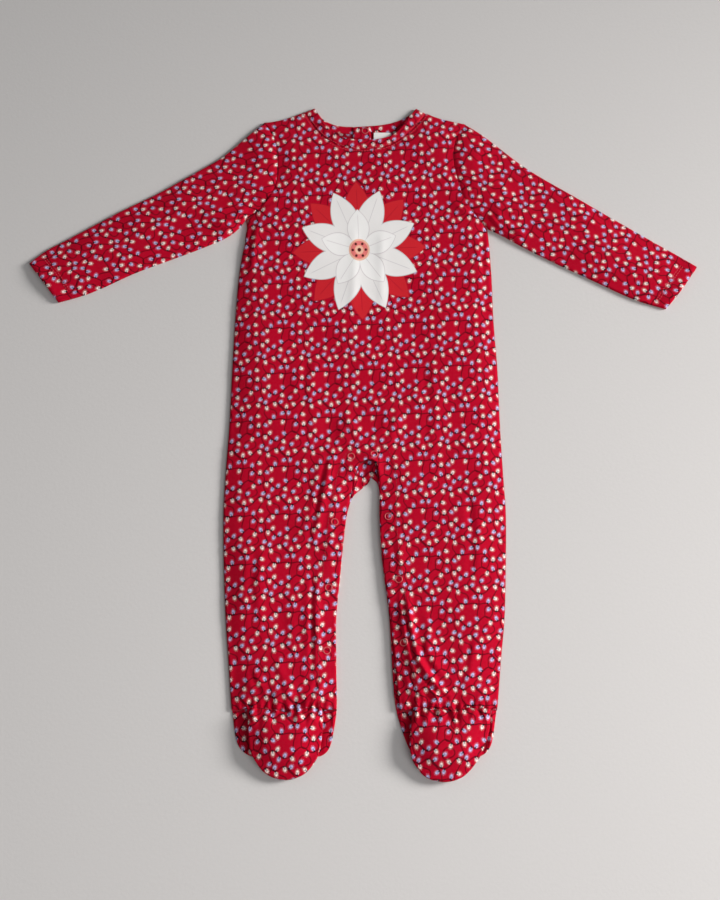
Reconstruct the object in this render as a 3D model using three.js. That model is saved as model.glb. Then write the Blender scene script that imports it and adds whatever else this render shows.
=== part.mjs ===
// A baby's footed sleepsuit in printed cotton jersey, laid flat on its back with both sleeves out sideways.
// Millimetres, +X to the viewer's right, +Y towards the neck, +Z up from the surface that it lies on.
// The origin is on that surface, under the middle of the suit. Left and right are the viewer's.
// Every piece is a wall of cloth: a sheet of points with a direction and a thickness at each point.

import * as THREE from 'three';

// Thicknesses and heights of the layers
const CLOTH = 1.2;
const TRIM = 1.0;
const LAYER_GAP = 0.3;
const HALF_GAP = LAYER_GAP / 2;
const FRONT_REST = CLOTH + LAYER_GAP;
const TRIM_REST = CLOTH + LAYER_GAP;
const TRIM_CLEARANCE = TRIM_REST + TRIM + LAYER_GAP;

// The front stands off the back by this much more, from this far inside the edges
const BODY_PUFF = 2.0;
const ROLL_WIDTH = 26;

// Columns and rows of the sheets
const FRONT_SHOULDER_COLUMNS = 5;
const FRONT_NECK_COLUMNS = 9;
const FRONT_COLUMNS = FRONT_SHOULDER_COLUMNS + FRONT_NECK_COLUMNS;
const BACK_SHOULDER_COLUMNS = 2;
const BACK_NECK_COLUMNS = 5;
const BACK_COLUMNS = BACK_SHOULDER_COLUMNS + BACK_NECK_COLUMNS;
const YOKE_ROWS = 8;
const SLEEVE_RINGS = 15;
const FOLD_STEPS = 4;
const EVENING_PASSES = 12;
const SIDE_SAMPLE_STEP = 12;
const EDGE_SAMPLES = 24;

// Where cloth is folded over: the radius of its middle, and how far in from the edge the fold begins
const FOLD_RADIUS = (CLOTH + LAYER_GAP) / 2;
const FOLD_INSET = FOLD_RADIUS + CLOTH / 2;
const NECK_FOLD_EASE = 0.025;

// Side edges of the body and legs, from the underarms to the heels
const SIDE_EDGES = [
  { y: 237.5, left: -130.0, right: 138.5 },
  { y: 225, left: -127.5, right: 139.0 },
  { y: 210, left: -130.0, right: 139.3 },
  { y: 195, left: -133.0, right: 140.0 },
  { y: 165, left: -136.5, right: 141.3 },
  { y: 120, left: -139.0, right: 142.0 },
  { y: 60, left: -141.0, right: 145.0 },
  { y: 0, left: -142.5, right: 146.0 },
  { y: -60, left: -145.5, right: 148.2 },
  { y: -97, left: -146.5, right: 149.8 },
  { y: -150, left: -145.0, right: 148.5 },
  { y: -210, left: -141.5, right: 145.5 },
  { y: -255, left: -137.5, right: 140.5 },
  { y: -300, left: -133.5, right: 136.0 },
  { y: -318, left: -131.0, right: 133.2 },
  { y: -332, left: -129.0, right: 131.2 },
  { y: -342, left: -125.0, right: 128.0 },
  { y: -347, left: -120.0, right: 124.0 },
  { y: -350.5, left: -112.5, right: 117.5 },
];

// Inner edges of the front's legs, from the top of the crotch to the ankles
const FRONT_INNER_EDGES = [
  { y: -40.5, left: 6.0, right: 6.0 },
  { y: -42.5, left: -0.5, right: 12.2 },
  { y: -46, left: -4.2, right: 14.8 },
  { y: -52, left: -6.8, right: 15.9 },
  { y: -60, left: -9.1, right: 16.8 },
  { y: -72, left: -11.6, right: 17.5 },
  { y: -85, left: -14.3, right: 17.2 },
  { y: -97, left: -16.8, right: 17.2 },
  { y: -120, left: -19.5, right: 17.8 },
  { y: -150, left: -22.5, right: 20.0 },
  { y: -180, left: -25.2, right: 24.0 },
  { y: -210, left: -28.2, right: 28.2 },
  { y: -240, left: -27.8, right: 31.2 },
  { y: -270, left: -27.4, right: 34.0 },
  { y: -304, left: -26.8, right: 37.0 },
];

// Inner edges of the back's legs, from its lower crotch to the heels
const BACK_INNER_EDGES = [
  { y: -60, left: 8.6, right: 8.6 },
  { y: -64, left: 6.8, right: 14.4 },
  { y: -68.5, left: 3.8, right: 16.4 },
  { y: -73, left: -3.0, right: 17.2 },
  { y: -79, left: -10.0, right: 17.4 },
  { y: -87, left: -14.6, right: 17.2 },
  { y: -97, left: -17.0, right: 17.2 },
  { y: -120, left: -19.5, right: 17.5 },
  { y: -150, left: -22.5, right: 19.5 },
  { y: -180, left: -25.0, right: 23.5 },
  { y: -210, left: -28.5, right: 27.5 },
  { y: -240, left: -27.5, right: 28.6 },
  { y: -270, left: -27.5, right: 30.2 },
  { y: -300, left: -26.5, right: 32.5 },
  { y: -325, left: -29.7, right: 39.5 },
  { y: -340, left: -33.0, right: 45.0 },
  { y: -347, left: -37.0, right: 49.0 },
  { y: -350.5, left: -43.5, right: 55.0 },
];

// Heights of the rows below the yoke, as read from the inner edge of each half
const FRONT_TORSO_ROWS = 15;
const BACK_TORSO_ROWS = 9;
const FRONT_LEG_ROWS = [-40.5, -42.5, -46, -52, -60, -72, -85, -98, -113, -129, -145, -161, -177, -193, -209,
  -225, -240, -254, -267, -279, -289, -297];
const BACK_LEG_ROWS = [-60, -64, -68.5, -73, -79, -87, -97, -120, -150, -180, -210, -240, -270, -290, -306,
  -314, -324, -333, -341, -347, -350.5];

// Ankle seam: the front ends here, in small waves where the foot top is gathered into it
const ANKLE_Y = -303.5;
const ANKLE_WAVE = 1.2;
const ANKLE_WAVE_FADE = 4;
const ANKLE_RISE = 1.6;
const ANKLE_RISE_LENGTH = 34;

// The body's corner at the underarm is drawn in, and the sleeve's first inner point is kept clear of its own
const UNDERARM_EASE = 0.5;
const UNDERARM_CLEARANCE = 0.3;
const UNDERARM = { left: { x: -130, y: 237.5 }, right: { x: 138.5, y: 226 } };

// Armhole seams, from the shoulder to the underarm
const ARMHOLE = {
  left: [
    { x: -112.5, y: 356.6 }, { x: -101.5, y: 343 }, { x: -97.0, y: 325 }, { x: -95.6, y: 305 },
    { x: -95.2, y: 290 }, { x: -99.5, y: 271 }, { x: -110.5, y: 253 }, { x: -130.0, y: 237.5 },
  ],
  right: [
    { x: 116.8, y: 354.5 }, { x: 106.5, y: 343 }, { x: 102.4, y: 325 }, { x: 101.6, y: 310 },
    { x: 103.8, y: 296 }, { x: 110.1, y: 271 }, { x: 118.8, y: 250 }, { x: 138.5, y: 226 },
  ],
};

// Shoulder edges, from the armhole to the seam of the neck band
const SHOULDER = {
  left: [{ x: -112.5, y: 356.6 }, { x: -99.6, y: 358.4 }, { x: -81.4, y: 363.8 }, { x: -66.2, y: 370.3 }],
  right: [{ x: 116.8, y: 354.5 }, { x: 100.7, y: 358.4 }, { x: 85.0, y: 362.8 }, { x: 71.8, y: 368.6 }],
};
const NECK_TIP = { left: { x: -55.2, y: 375.6 }, right: { x: 60.9, y: 375.2 } };

// Neck band: its seam and its free edge, on the front and on the back, from the shoulder to the middle
const SLIT_X = -10;
const NECKLINE = {
  front: {
    left: {
      seam: [{ x: -66.2, y: 370.3 }, { x: -57.2, y: 354.5 }, { x: -43.2, y: 337.5 }, { x: -27, y: 327.2 },
        { x: -11, y: 323 }, { x: 4, y: 322.6 }],
      free: [{ x: -55.2, y: 375.6 }, { x: -47.5, y: 362.5 }, { x: -41.0, y: 350.5 }, { x: -31.5, y: 342 },
        { x: -18, y: 336 }, { x: 4, y: 334.4 }],
    },
    right: {
      seam: [{ x: 71.8, y: 368.6 }, { x: 62.2, y: 354.5 }, { x: 50.5, y: 342.5 }, { x: 37.5, y: 332.5 },
        { x: 23, y: 325.6 }, { x: 4, y: 322.6 }],
      free: [{ x: 60.9, y: 375.2 }, { x: 50.5, y: 361 }, { x: 44.0, y: 350.5 }, { x: 36.5, y: 342 },
        { x: 24, y: 336.4 }, { x: 4, y: 334.4 }],
    },
  },
  back: {
    left: {
      seam: [{ x: -66.2, y: 370.3 }, { x: -58, y: 357.5 }, { x: -46, y: 349.4 }, { x: -28, y: 344.6 },
        { x: SLIT_X, y: 343.4 }],
      free: [{ x: -55.2, y: 375.6 }, { x: -48.5, y: 364.5 }, { x: -38, y: 356.6 }, { x: -24, y: 353.0 },
        { x: SLIT_X, y: 352.6 }],
    },
    right: {
      seam: [{ x: 71.8, y: 368.6 }, { x: 62.5, y: 357 }, { x: 50, y: 350.2 }, { x: 30, y: 345.6 },
        { x: SLIT_X, y: 343.4 }],
      free: [{ x: 60.9, y: 375.2 }, { x: 51.5, y: 365.4 }, { x: 40, y: 359.2 }, { x: 22, y: 354.8 },
        { x: SLIT_X, y: 352.6 }],
    },
  },
};
const SLIT_HALF_GAP = 0.4;
const SLIT_ROWS = 6;

// Sleeves: the folded top edge and the sewn lower edge run out to the cuff
const SLEEVE = {
  left: {
    top: [{ x: -112.5, y: 356.6 }, { x: -120.5, y: 350 }, { x: -142, y: 329.3 }, { x: -158, y: 313.6 },
      { x: -181, y: 299.5 }, { x: -228, y: 270 }, { x: -268.6, y: 248.4 }, { x: -324.3, y: 215.4 },
      { x: -359, y: 195.3 }, { x: -368.8, y: 184.6 }],
    lower: [{ x: -130, y: 237.5 }, { x: -135.5, y: 229.5 }, { x: -142.3, y: 220.8 }, { x: -157.2, y: 212.4 },
      { x: -200, y: 194 }, { x: -250, y: 174 }, { x: -300, y: 149.3 }, { x: -334, y: 138.6 }],
    cuff: [{ x: -334, y: 138.6 }, { x: -350.3, y: 160.4 }, { x: -368.8, y: 184.6 }],
  },
  right: {
    top: [{ x: 116.8, y: 354.5 }, { x: 123.6, y: 350.6 }, { x: 134, y: 343 }, { x: 150, y: 329.3 },
      { x: 184, y: 300 }, { x: 229.6, y: 270 }, { x: 287, y: 233 }, { x: 346, y: 195.6 },
      { x: 361.4, y: 186.4 }, { x: 368.8, y: 180.4 }],
    lower: [{ x: 138.5, y: 226 }, { x: 153.4, y: 218.9 }, { x: 175.7, y: 205 }, { x: 220.3, y: 180.9 },
      { x: 250, y: 166 }, { x: 300, y: 141 }, { x: 331.7, y: 130.9 }],
    cuff: [{ x: 331.7, y: 130.9 }, { x: 351.2, y: 154.9 }, { x: 368.8, y: 180.4 }],
  },
};
const CUFF_HEM_LENGTH = 15;
const CUFF_HEM_EXTRA = 0.5;

// Feet: the columns of the front's ankle that the foot top is sewn to, and its outline below them
const FOOT = {
  left: {
    firstColumn: 2,
    lastColumn: 12,
    outer: [{ x: -116.2, y: -315 }, { x: -115.4, y: -331 }, { x: -113.7, y: -344 }, { x: -110.4, y: -352 }],
    toe: [{ x: -110.4, y: -352 }, { x: -100.6, y: -365.8 }, { x: -91, y: -371.2 }, { x: -80, y: -373.8 },
      { x: -69, y: -372.4 }, { x: -58, y: -367.2 }, { x: -46.8, y: -354 }],
    inner: [{ x: -40.9, y: -315 }, { x: -41.4, y: -331 }, { x: -44, y: -345 }, { x: -46.8, y: -354 }],
    heel: [{ x: -112, y: -349.6 }, { x: -44.5, y: -349.6 }],
  },
  right: {
    firstColumn: 1,
    lastColumn: 12,
    outer: [{ x: 128.7, y: -312 }, { x: 127, y: -325 }, { x: 122.8, y: -338.5 }, { x: 117.5, y: -351 }],
    toe: [{ x: 117.5, y: -351 }, { x: 105.5, y: -366.4 }, { x: 97, y: -372.4 }, { x: 84, y: -375.6 },
      { x: 71, y: -374.2 }, { x: 60.6, y: -369.8 }, { x: 49.6, y: -355.5 }],
    inner: [{ x: 49.2, y: -315 }, { x: 47.2, y: -331 }, { x: 46.9, y: -344 }, { x: 49.6, y: -355.5 }],
    heel: [{ x: 117, y: -349.6 }, { x: 56, y: -349.6 }],
  },
};
const FOOT_ROWS = 9;
const SOLE_LOWER_ROWS = 5;
const SOLE_FOLD_DROP = 1.0;
const LOWER_SOLE_REST = CLOTH + LAYER_GAP;
const UPPER_SOLE_REST = LOWER_SOLE_REST + CLOTH + LAYER_GAP;
const FOOT_TOP_REST = UPPER_SOLE_REST + CLOTH + LAYER_GAP;
const LOWER_SOLE_DOME = 1.0;
const UPPER_SOLE_DOME = 2.6;
const FOOT_TOP_DOME = 4.8;
const TOE_DROP_START = -352;
const TOE_DROP_LENGTH = 15;
const GATHER_HEIGHT = 0.7;

// How fast a foot rises from its sides, ankle and toe and how fast the gathers end, as slopes of shares
const DOME_SIDE_SLOPE = 3.2;
const DOME_ANKLE_SLOPE = 2.4;
const DOME_ANKLE_START = 0.1;
const DOME_TOE_SLOPE = 2.8;
const GATHER_SLOPE = 3;
const GATHER_START = 0.3;
const FOOT_LEVEL_SLOPE = 3;

// Heel layer: upright gathers beside the foot top, on columns that stand at these shares of its width
const HEEL_GATHER = { columnsFrom: -290, top: -306, bottom: -346, fade: 8, height: 1.1 };
const HEEL_COLUMN_SHARES = [0, 0.025, 0.05, 0.35, 0.65, 0.95, 0.975, 1];

// Folds of the front and of the sleeves' upper layer: ridges rise, troughs sink
const FOLDS = [
  { x0: -37, y0: -28, x1: -48, y1: -92, width: 8, rise: -0.7 },
  { x0: -48, y0: -92, x1: -60, y1: -142, width: 9, rise: -0.7 },
  { x0: -53, y0: -150, x1: -52, y1: -264, width: 8, rise: -0.7 },
  { x0: -26, y0: -32, x1: -36, y1: -104, width: 8, rise: 0.8 },
  { x0: -66, y0: -120, x1: -65, y1: -258, width: 9, rise: 0.9 },
  { x0: -60, y0: -262, x1: -76, y1: -292, width: 7, rise: 0.6 },
  { x0: 42, y0: -178, x1: 50, y1: -240, width: 8, rise: -0.6 },
  { x0: 53, y0: -240, x1: 66, y1: -276, width: 7, rise: -0.7 },
  { x0: 66, y0: -240, x1: 80, y1: -280, width: 8, rise: 1.0 },
  { x0: 66, y0: -276, x1: 88, y1: -297, width: 7, rise: -0.7 },
  { x0: 60, y0: -176, x1: 66, y1: -232, width: 9, rise: 0.6 },
  { x0: -9, y0: 222, x1: -11, y1: 122, width: 9, rise: 0.6 },
  { x0: 22, y0: 214, x1: 20, y1: 128, width: 9, rise: 0.5 },
  { x0: 100, y0: 262, x1: 132, y1: 234, width: 8, rise: 0.9 },
  { x0: -96, y0: 262, x1: -122, y1: 241, width: 8, rise: 0.8 },
  { x0: 128, y0: 205, x1: 124, y1: 140, width: 8, rise: 0.5 },
  { x0: -120, y0: 222, x1: -126, y1: 165, width: 8, rise: 0.6 },
  { x0: 150, y0: 246, x1: 182, y1: 214, width: 9, rise: -0.7 },
  { x0: 160, y0: 256, x1: 196, y1: 222, width: 9, rise: 1.0 },
  { x0: -140, y0: 246, x1: -172, y1: 222, width: 9, rise: 0.9 },
  { x0: -124, y0: 330, x1: -110, y1: 286, width: 9, rise: 0.6 },
  { x0: 128, y0: 326, x1: 116, y1: 284, width: 9, rise: 0.6 },
  { x0: 96, y0: 150, x1: 88, y1: 40, width: 10, rise: 0.5 },
  { x0: -98, y0: 60, x1: -94, y1: -40, width: 10, rise: 0.5 },
];

// Back neck placket and label, which lie on the back inside the neck
const BACK_PLACKET = { left: -11, right: 9, top: 351.6, bottom: 255, rows: 6 };
const LABEL = { left: 12.3, right: 31.6, top: 344.8, bottom: 314, rows: 3 };

// Leg placket: its edge lies on the back's inner leg edge, and this table takes it round the crotch
const LEG_PLACKET_WIDTH = 20;
const LEG_PLACKET_ROWS = [-292, -268, -240, -212, -184, -156, -130, -112];
const LEG_PLACKET_CROTCH = [
  { edgeX: -16.4, edgeY: -97, farX: -37, farY: -92 },
  { edgeX: -13.4, edgeY: -86, farX: -34, farY: -73 },
  { edgeX: -8.6, edgeY: -77.2, farX: -26, farY: -57 },
  { edgeX: 1.0, edgeY: -70.0, farX: -12, farY: -45 },
  { edgeX: 8.4, edgeY: -59.2, farX: 4, farY: -37 },
  { edgeX: 14.0, edgeY: -62.8, farX: 20, farY: -42 },
  { edgeX: 17.0, edgeY: -70, farX: 32, farY: -55 },
  { edgeX: 17.8, edgeY: -83, farX: 37, farY: -74 },
  { edgeX: 17.7, edgeY: -97, farX: 38, farY: -93 },
];

// Ring snaps
const SNAP_OUTER_RADIUS = 4.0;
const SNAP_INNER_RADIUS = 2.5;
const SNAP_HEIGHT = 1.0;
const SNAP_SIDES = 10;
const LEG_SNAPS = {
  left: [{ x: -12.6, y: -37.7 }, { x: -29.7, y: -109.1 }, { x: -35.6, y: -178.6 }, { x: -37.1, y: -244 }],
  right: [{ x: 12.0, y: -35.2 }, { x: 26.5, y: -103 }, { x: 37, y: -170 }, { x: 41.6, y: -236 }],
};
const NECK_SNAP = { x: 2.7, y: 347 };

// A triangle with less than this area in plan stands upright
const UPRIGHT_AREA = 1e-9;

const sideSign = { left: -1, right: 1 };
const mix = (a, b, share) => a + (b - a) * share;
const mixPoint = (a, b, share) => ({ x: mix(a.x, b.x, share), y: mix(a.y, b.y, share) });

function smooth(value) {
  const share = Math.min(Math.max(value, 0), 1);
  return share * share * (3 - 2 * share);
}

// Reads one column of a table at a given y, on a smooth curve through its rows
function readColumn(table, column, y) {
  const last = table.length - 1;
  let index = 0;
  while (index < last - 1 && y < table[index + 1].y) {
    index += 1;
  }
  const slopeAt = (row) => {
    const before = table[Math.max(row - 1, 0)];
    const after = table[Math.min(row + 1, last)];
    return (after[column] - before[column]) / (after.y - before.y);
  };
  const start = table[index];
  const end = table[index + 1];
  const span = end.y - start.y;
  const t = Math.min(Math.max((y - start.y) / span, 0), 1);
  const t2 = t * t;
  const t3 = t2 * t;
  return (2 * t3 - 3 * t2 + 1) * start[column] + (t3 - 2 * t2 + t) * span * slopeAt(index)
    + (3 * t2 - 2 * t3) * end[column] + (t3 - t2) * span * slopeAt(index + 1);
}

// Evenly spaced points on a smooth curve through the rows of a table
function spacedPoints(rows, steps) {
  const curve = new THREE.CatmullRomCurve3(
    rows.map(({ x, y }) => new THREE.Vector3(x, y, 0)), false, 'centripetal');
  return curve.getSpacedPoints(steps).map(({ x, y }) => ({ x, y }));
}

// Moves a line of points sideways, to the left of its direction
function offsetLine(points, distance) {
  return points.map((point, index) => {
    const before = points[Math.max(index - 1, 0)];
    const after = points[Math.min(index + 1, points.length - 1)];
    const length = Math.hypot(after.x - before.x, after.y - before.y);
    return {
      x: point.x - (distance * (after.y - before.y)) / length,
      y: point.y + (distance * (after.x - before.x)) / length,
    };
  });
}

// Fills a grid between its first and last row and its start and end sides, then evens out the inside
function fillBetween(first, last, start, end) {
  const rows = start.length - 1;
  const columns = first.length - 1;
  const corner = (key, r, c) => (1 - r) * ((1 - c) * first[0][key] + c * first[columns][key])
    + r * ((1 - c) * last[0][key] + c * last[columns][key]);
  let grid = start.map((_, i) => first.map((__, j) => {
    const r = i / rows;
    const c = j / columns;
    const blend = (key) => mix(first[j][key], last[j][key], r) + mix(start[i][key], end[i][key], c)
      - corner(key, r, c);
    return { x: blend('x'), y: blend('y') };
  }));
  for (let pass = 0; pass < EVENING_PASSES; pass += 1) {
    grid = grid.map((row, i) => row.map((point, j) => {
      if (i === 0 || j === 0 || i === rows || j === columns) {
        return point;
      }
      const around = [grid[i - 1][j], grid[i + 1][j], row[j - 1], row[j + 1]];
      return {
        x: around.reduce((sum, { x }) => sum + x, 0) / around.length,
        y: around.reduce((sum, { y }) => sum + y, 0) / around.length,
      };
    }));
  }
  return grid;
}

// Edges of the whole suit, for the distance that sets how high the upper layer stands
const armholes = {};
for (const side of ['left', 'right']) {
  armholes[side] = spacedPoints(ARMHOLE[side], YOKE_ROWS);
}
const outerEdges = [];
for (const side of ['left', 'right']) {
  outerEdges.push([NECK_TIP[side], ...spacedPoints(SHOULDER[side], EDGE_SAMPLES).reverse(),
    ...spacedPoints(SLEEVE[side].top, EDGE_SAMPLES)]);
  const down = [];
  for (let { y } = UNDERARM[side]; y > ANKLE_Y; y -= SIDE_SAMPLE_STEP) {
    down.push({ x: readColumn(SIDE_EDGES, side, y), y });
  }
  down.push({ x: readColumn(SIDE_EDGES, side, ANKLE_Y), y: ANKLE_Y });
  outerEdges.push([...spacedPoints(SLEEVE[side].lower, EDGE_SAMPLES).reverse(), ...down]);
}

function distanceToSegment(x, y, a, b) {
  const dx = b.x - a.x;
  const dy = b.y - a.y;
  const along = ((x - a.x) * dx + (y - a.y) * dy) / (dx * dx + dy * dy || 1);
  const share = Math.min(Math.max(along, 0), 1);
  return Math.hypot(x - a.x - share * dx, y - a.y - share * dy);
}

function distanceToEdge(x, y) {
  let nearest = Infinity;
  for (const line of outerEdges) {
    for (let index = 1; index < line.length; index += 1) {
      nearest = Math.min(nearest, distanceToSegment(x, y, line[index - 1], line[index]));
    }
  }
  return nearest;
}

// Height of a fold at a point: a soft bell across it, fading at both ends
function foldRise(fold, x, y) {
  const dx = fold.x1 - fold.x0;
  const dy = fold.y1 - fold.y0;
  const length = Math.hypot(dx, dy);
  const along = ((x - fold.x0) * dx + (y - fold.y0) * dy) / length;
  const across = ((x - fold.x0) * dy - (y - fold.y0) * dx) / length;
  const past = Math.max(-along, along - length, 0);
  return fold.rise * Math.exp(-(across * across + past * past) / (fold.width * fold.width));
}

// Underside of the upper layer: the front, the upper half of the sleeves and the front of the neck band
function frontLevel(x, y) {
  const inset = distanceToEdge(x, y);
  const inside = smooth(inset / ROLL_WIDTH);
  const calm = FRONT_REST + BODY_PUFF * inside;
  const folds = FOLDS.reduce((sum, fold) => sum + foldRise(fold, x, y), 0);
  const level = calm + folds * smooth(inset / (ROLL_WIDTH / 2));
  const innerX = readColumn(FRONT_INNER_EDGES, x < 0 ? 'left' : 'right', y);
  const ankle = smooth((ANKLE_Y + ANKLE_RISE_LENGTH - y) / ANKLE_RISE_LENGTH)
    * smooth(Math.abs(x - innerX) / ROLL_WIDTH) * inside;
  return Math.max(level, Math.min(calm, TRIM_CLEARANCE)) + ANKLE_RISE * ankle;
}

// A place on a sheet: the middle of the cloth there, its direction and its thickness
function place(x, y, z, thickness, direction = [0, 0, 1]) {
  return { point: new THREE.Vector3(x, y, z), direction: new THREE.Vector3(...direction), thickness };
}

const restingOn = (level, thickness) => ({ x, y }) => place(x, y, level + thickness / 2, thickness);
const onFront = ({ x, y }) => place(x, y, frontLevel(x, y) + CLOTH / 2, CLOTH);

// Joins grids of places into one sheet. Places at the same point become one, and each cell of a grid is
// split along the diagonal that is shorter in plan.
function joinGrids(grids) {
  const sheet = { places: [], triangles: [] };
  const known = new Map();
  const indexOf = (entry) => {
    const key = entry.point.toArray().map((value) => value.toFixed(3)).join(' ');
    if (!known.has(key)) {
      known.set(key, sheet.places.length);
      sheet.places.push(entry);
    }
    return known.get(key);
  };
  for (const grid of grids) {
    const ids = grid.map((row) => row.map(indexOf));
    for (let i = 1; i < ids.length; i += 1) {
      for (let j = 1; j < ids[i].length; j += 1) {
        const corners = [ids[i - 1][j - 1], ids[i - 1][j], ids[i][j], ids[i][j - 1]];
        const diagonal = (from, to) => {
          const [a, b] = [corners[from], corners[to]].map((id) => sheet.places[id].point);
          return Math.hypot(a.x - b.x, a.y - b.y);
        };
        const split = diagonal(0, 2) < diagonal(1, 3) ? [[0, 1, 2], [0, 2, 3]] : [[0, 1, 3], [1, 2, 3]];
        for (const [a, b, c] of split) {
          const triangle = [corners[a], corners[b], corners[c]];
          if (new Set(triangle).size === 3) {
            sheet.triangles.push(triangle);
          }
        }
      }
    }
  }
  return sheet;
}

// Gives a sheet its thickness: two faces half a thickness from the middle, and walls along its free edges
function wallGeometry(sheet) {
  const count = sheet.places.length;
  const positions = [];
  for (const half of [0.5, -0.5]) {
    for (const { point, direction, thickness } of sheet.places) {
      const corner = point.clone().addScaledVector(direction, half * thickness);
      positions.push(...corner.toArray());
    }
  }
  const edges = new Set();
  const triangles = [];
  for (const [a, b, c] of sheet.triangles) {
    triangles.push([a, b, c], [c + count, b + count, a + count]);
    for (const [from, to] of [[a, b], [b, c], [c, a]]) {
      edges.add(`${from} ${to}`);
    }
  }
  for (const edge of edges) {
    const [from, to] = edge.split(' ').map(Number);
    if (!edges.has(`${to} ${from}`)) {
      triangles.push([to, from, from + count], [to, from + count, to + count]);
    }
  }
  return outwardGeometry(positions, triangles);
}

// Turns the triangles so that they face out of the body
function outwardGeometry(positions, triangles) {
  const corner = (index) => new THREE.Vector3().fromArray(positions, index * 3);
  let volume = 0;
  for (const [a, b, c] of triangles) {
    volume += corner(a).dot(corner(b).cross(corner(c)));
  }
  const facing = volume < 0 ? triangles.map(([a, b, c]) => [a, c, b]) : triangles;
  const geometry = new THREE.BufferGeometry();
  geometry.setAttribute('position', new THREE.Float32BufferAttribute(positions, 3));
  geometry.setIndex(facing.flat());
  return geometry;
}

// Seam of the neck band in one half: the pairs of points on its two sides, parted by the seam gap
function neckPairs(layer, side, steps) {
  const seam = spacedPoints(NECKLINE[layer][side].seam, steps);
  const free = spacedPoints(NECKLINE[layer][side].free, steps);
  return seam.map((point, index) => {
    const width = Math.hypot(free[index].x - point.x, free[index].y - point.y);
    return {
      panel: mixPoint(point, free[index], -HALF_GAP / width),
      seam: mixPoint(point, free[index], HALF_GAP / width),
      free: free[index],
    };
  });
}

// Rows of one half of a panel, each from the outer edge to the inner edge
function halfPanel({ side, layer, shoulderColumns, neckColumns, torsoRows, legRows, innerEdges, slitRows }) {
  const columns = shoulderColumns + neckColumns;
  const sign = sideSign[side];
  const armhole = offsetLine(armholes[side], -sign * HALF_GAP);
  armhole[YOKE_ROWS].x -= sign * UNDERARM_EASE;
  const neck = neckPairs(layer, side, neckColumns).map(({ panel }) => panel);
  const shoulder = spacedPoints([armhole[0], ...SHOULDER[side].slice(1, -1), neck[0]], shoulderColumns);
  const top = [...shoulder, ...neck.slice(1)];
  const middleTop = neck[neckColumns];
  const crotch = { x: innerEdges[0].left, y: innerEdges[0].y };
  const middleX = layer === 'front' ? crotch.x : SLIT_X;
  const yokeEnd = { x: middleX, y: (UNDERARM.left.y + UNDERARM.right.y) / 2 };
  const middle = armhole.map((_, i) => {
    const { y } = mixPoint(middleTop, yokeEnd, i / YOKE_ROWS);
    const x = mix(middleTop.x, yokeEnd.x, i / YOKE_ROWS);
    return { x: i < slitRows ? x + sign * SLIT_HALF_GAP : x, y };
  });
  top[columns] = middle[0];
  const straight = (outer, inner) => Array.from({ length: columns + 1 }, (_, j) => {
    return mixPoint(outer, inner, j / columns);
  });
  const rows = fillBetween(top, straight(armhole[YOKE_ROWS], yokeEnd), armhole, middle);
  for (let i = 1; i < torsoRows; i += 1) {
    const share = i / torsoRows;
    const outerY = mix(UNDERARM[side].y, legRows[0], share);
    const outer = { x: readColumn(SIDE_EDGES, side, outerY), y: outerY };
    rows.push(straight(outer, mixPoint(yokeEnd, crotch, share)));
  }
  for (const y of legRows) {
    rows.push(straight({ x: readColumn(SIDE_EDGES, side, y), y }, { x: readColumn(innerEdges, side, y), y }));
  }
  return rows;
}

// Ankle seam of the front: small waves, with no wave at the outer and inner edge
function ankleRow(side) {
  const outer = { x: readColumn(SIDE_EDGES, side, ANKLE_Y), y: ANKLE_Y };
  const inner = { x: readColumn(FRONT_INNER_EDGES, side, ANKLE_Y), y: ANKLE_Y };
  return Array.from({ length: FRONT_COLUMNS + 1 }, (_, j) => {
    const share = j / FRONT_COLUMNS;
    const { x, y } = mixPoint(outer, inner, share);
    const fade = smooth(ANKLE_WAVE_FADE * share) * smooth(ANKLE_WAVE_FADE * (1 - share));
    return { x, y: y + (j % 2 === 0 ? 1 : -1) * ANKLE_WAVE * fade };
  });
}

const inSheetOrder = (side, rows) => (side === 'left' ? rows : rows.map((row) => [...row].reverse()));

function frontBody() {
  const grids = ['left', 'right'].map((side) => {
    const rows = halfPanel({
      side,
      layer: 'front',
      shoulderColumns: FRONT_SHOULDER_COLUMNS,
      neckColumns: FRONT_NECK_COLUMNS,
      torsoRows: FRONT_TORSO_ROWS,
      legRows: FRONT_LEG_ROWS,
      innerEdges: FRONT_INNER_EDGES,
      slitRows: 0,
    });
    rows.push(ankleRow(side));
    return inSheetOrder(side, rows.map((row) => row.map(onFront)));
  });
  return wallGeometry(joinGrids(grids));
}

// The back lies flat on the surface. Its heels are gathered beside the foot tops.
function backBody() {
  const gathered = (y) => smooth((HEEL_GATHER.top - y) / HEEL_GATHER.fade)
    * smooth((y - HEEL_GATHER.bottom) / HEEL_GATHER.fade);
  const grids = ['left', 'right'].map((side) => {
    const rows = halfPanel({
      side,
      layer: 'back',
      shoulderColumns: BACK_SHOULDER_COLUMNS,
      neckColumns: BACK_NECK_COLUMNS,
      torsoRows: BACK_TORSO_ROWS,
      legRows: BACK_LEG_ROWS,
      innerEdges: BACK_INNER_EDGES,
      slitRows: SLIT_ROWS,
    });
    const places = rows.map((row) => row.map(({ x, y }, j) => {
      if (y > HEEL_GATHER.columnsFrom) {
        return restingOn(0, CLOTH)({ x, y });
      }
      const onEdge = mixPoint(row[0], row[BACK_COLUMNS], HEEL_COLUMN_SHARES[j]);
      const ridge = j === 1 || j === BACK_COLUMNS - 1 ? HEEL_GATHER.height * gathered(y) : 0;
      return restingOn(0, CLOTH + ridge)(onEdge);
    }));
    return inSheetOrder(side, places);
  });
  return wallGeometry(joinGrids(grids));
}

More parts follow.
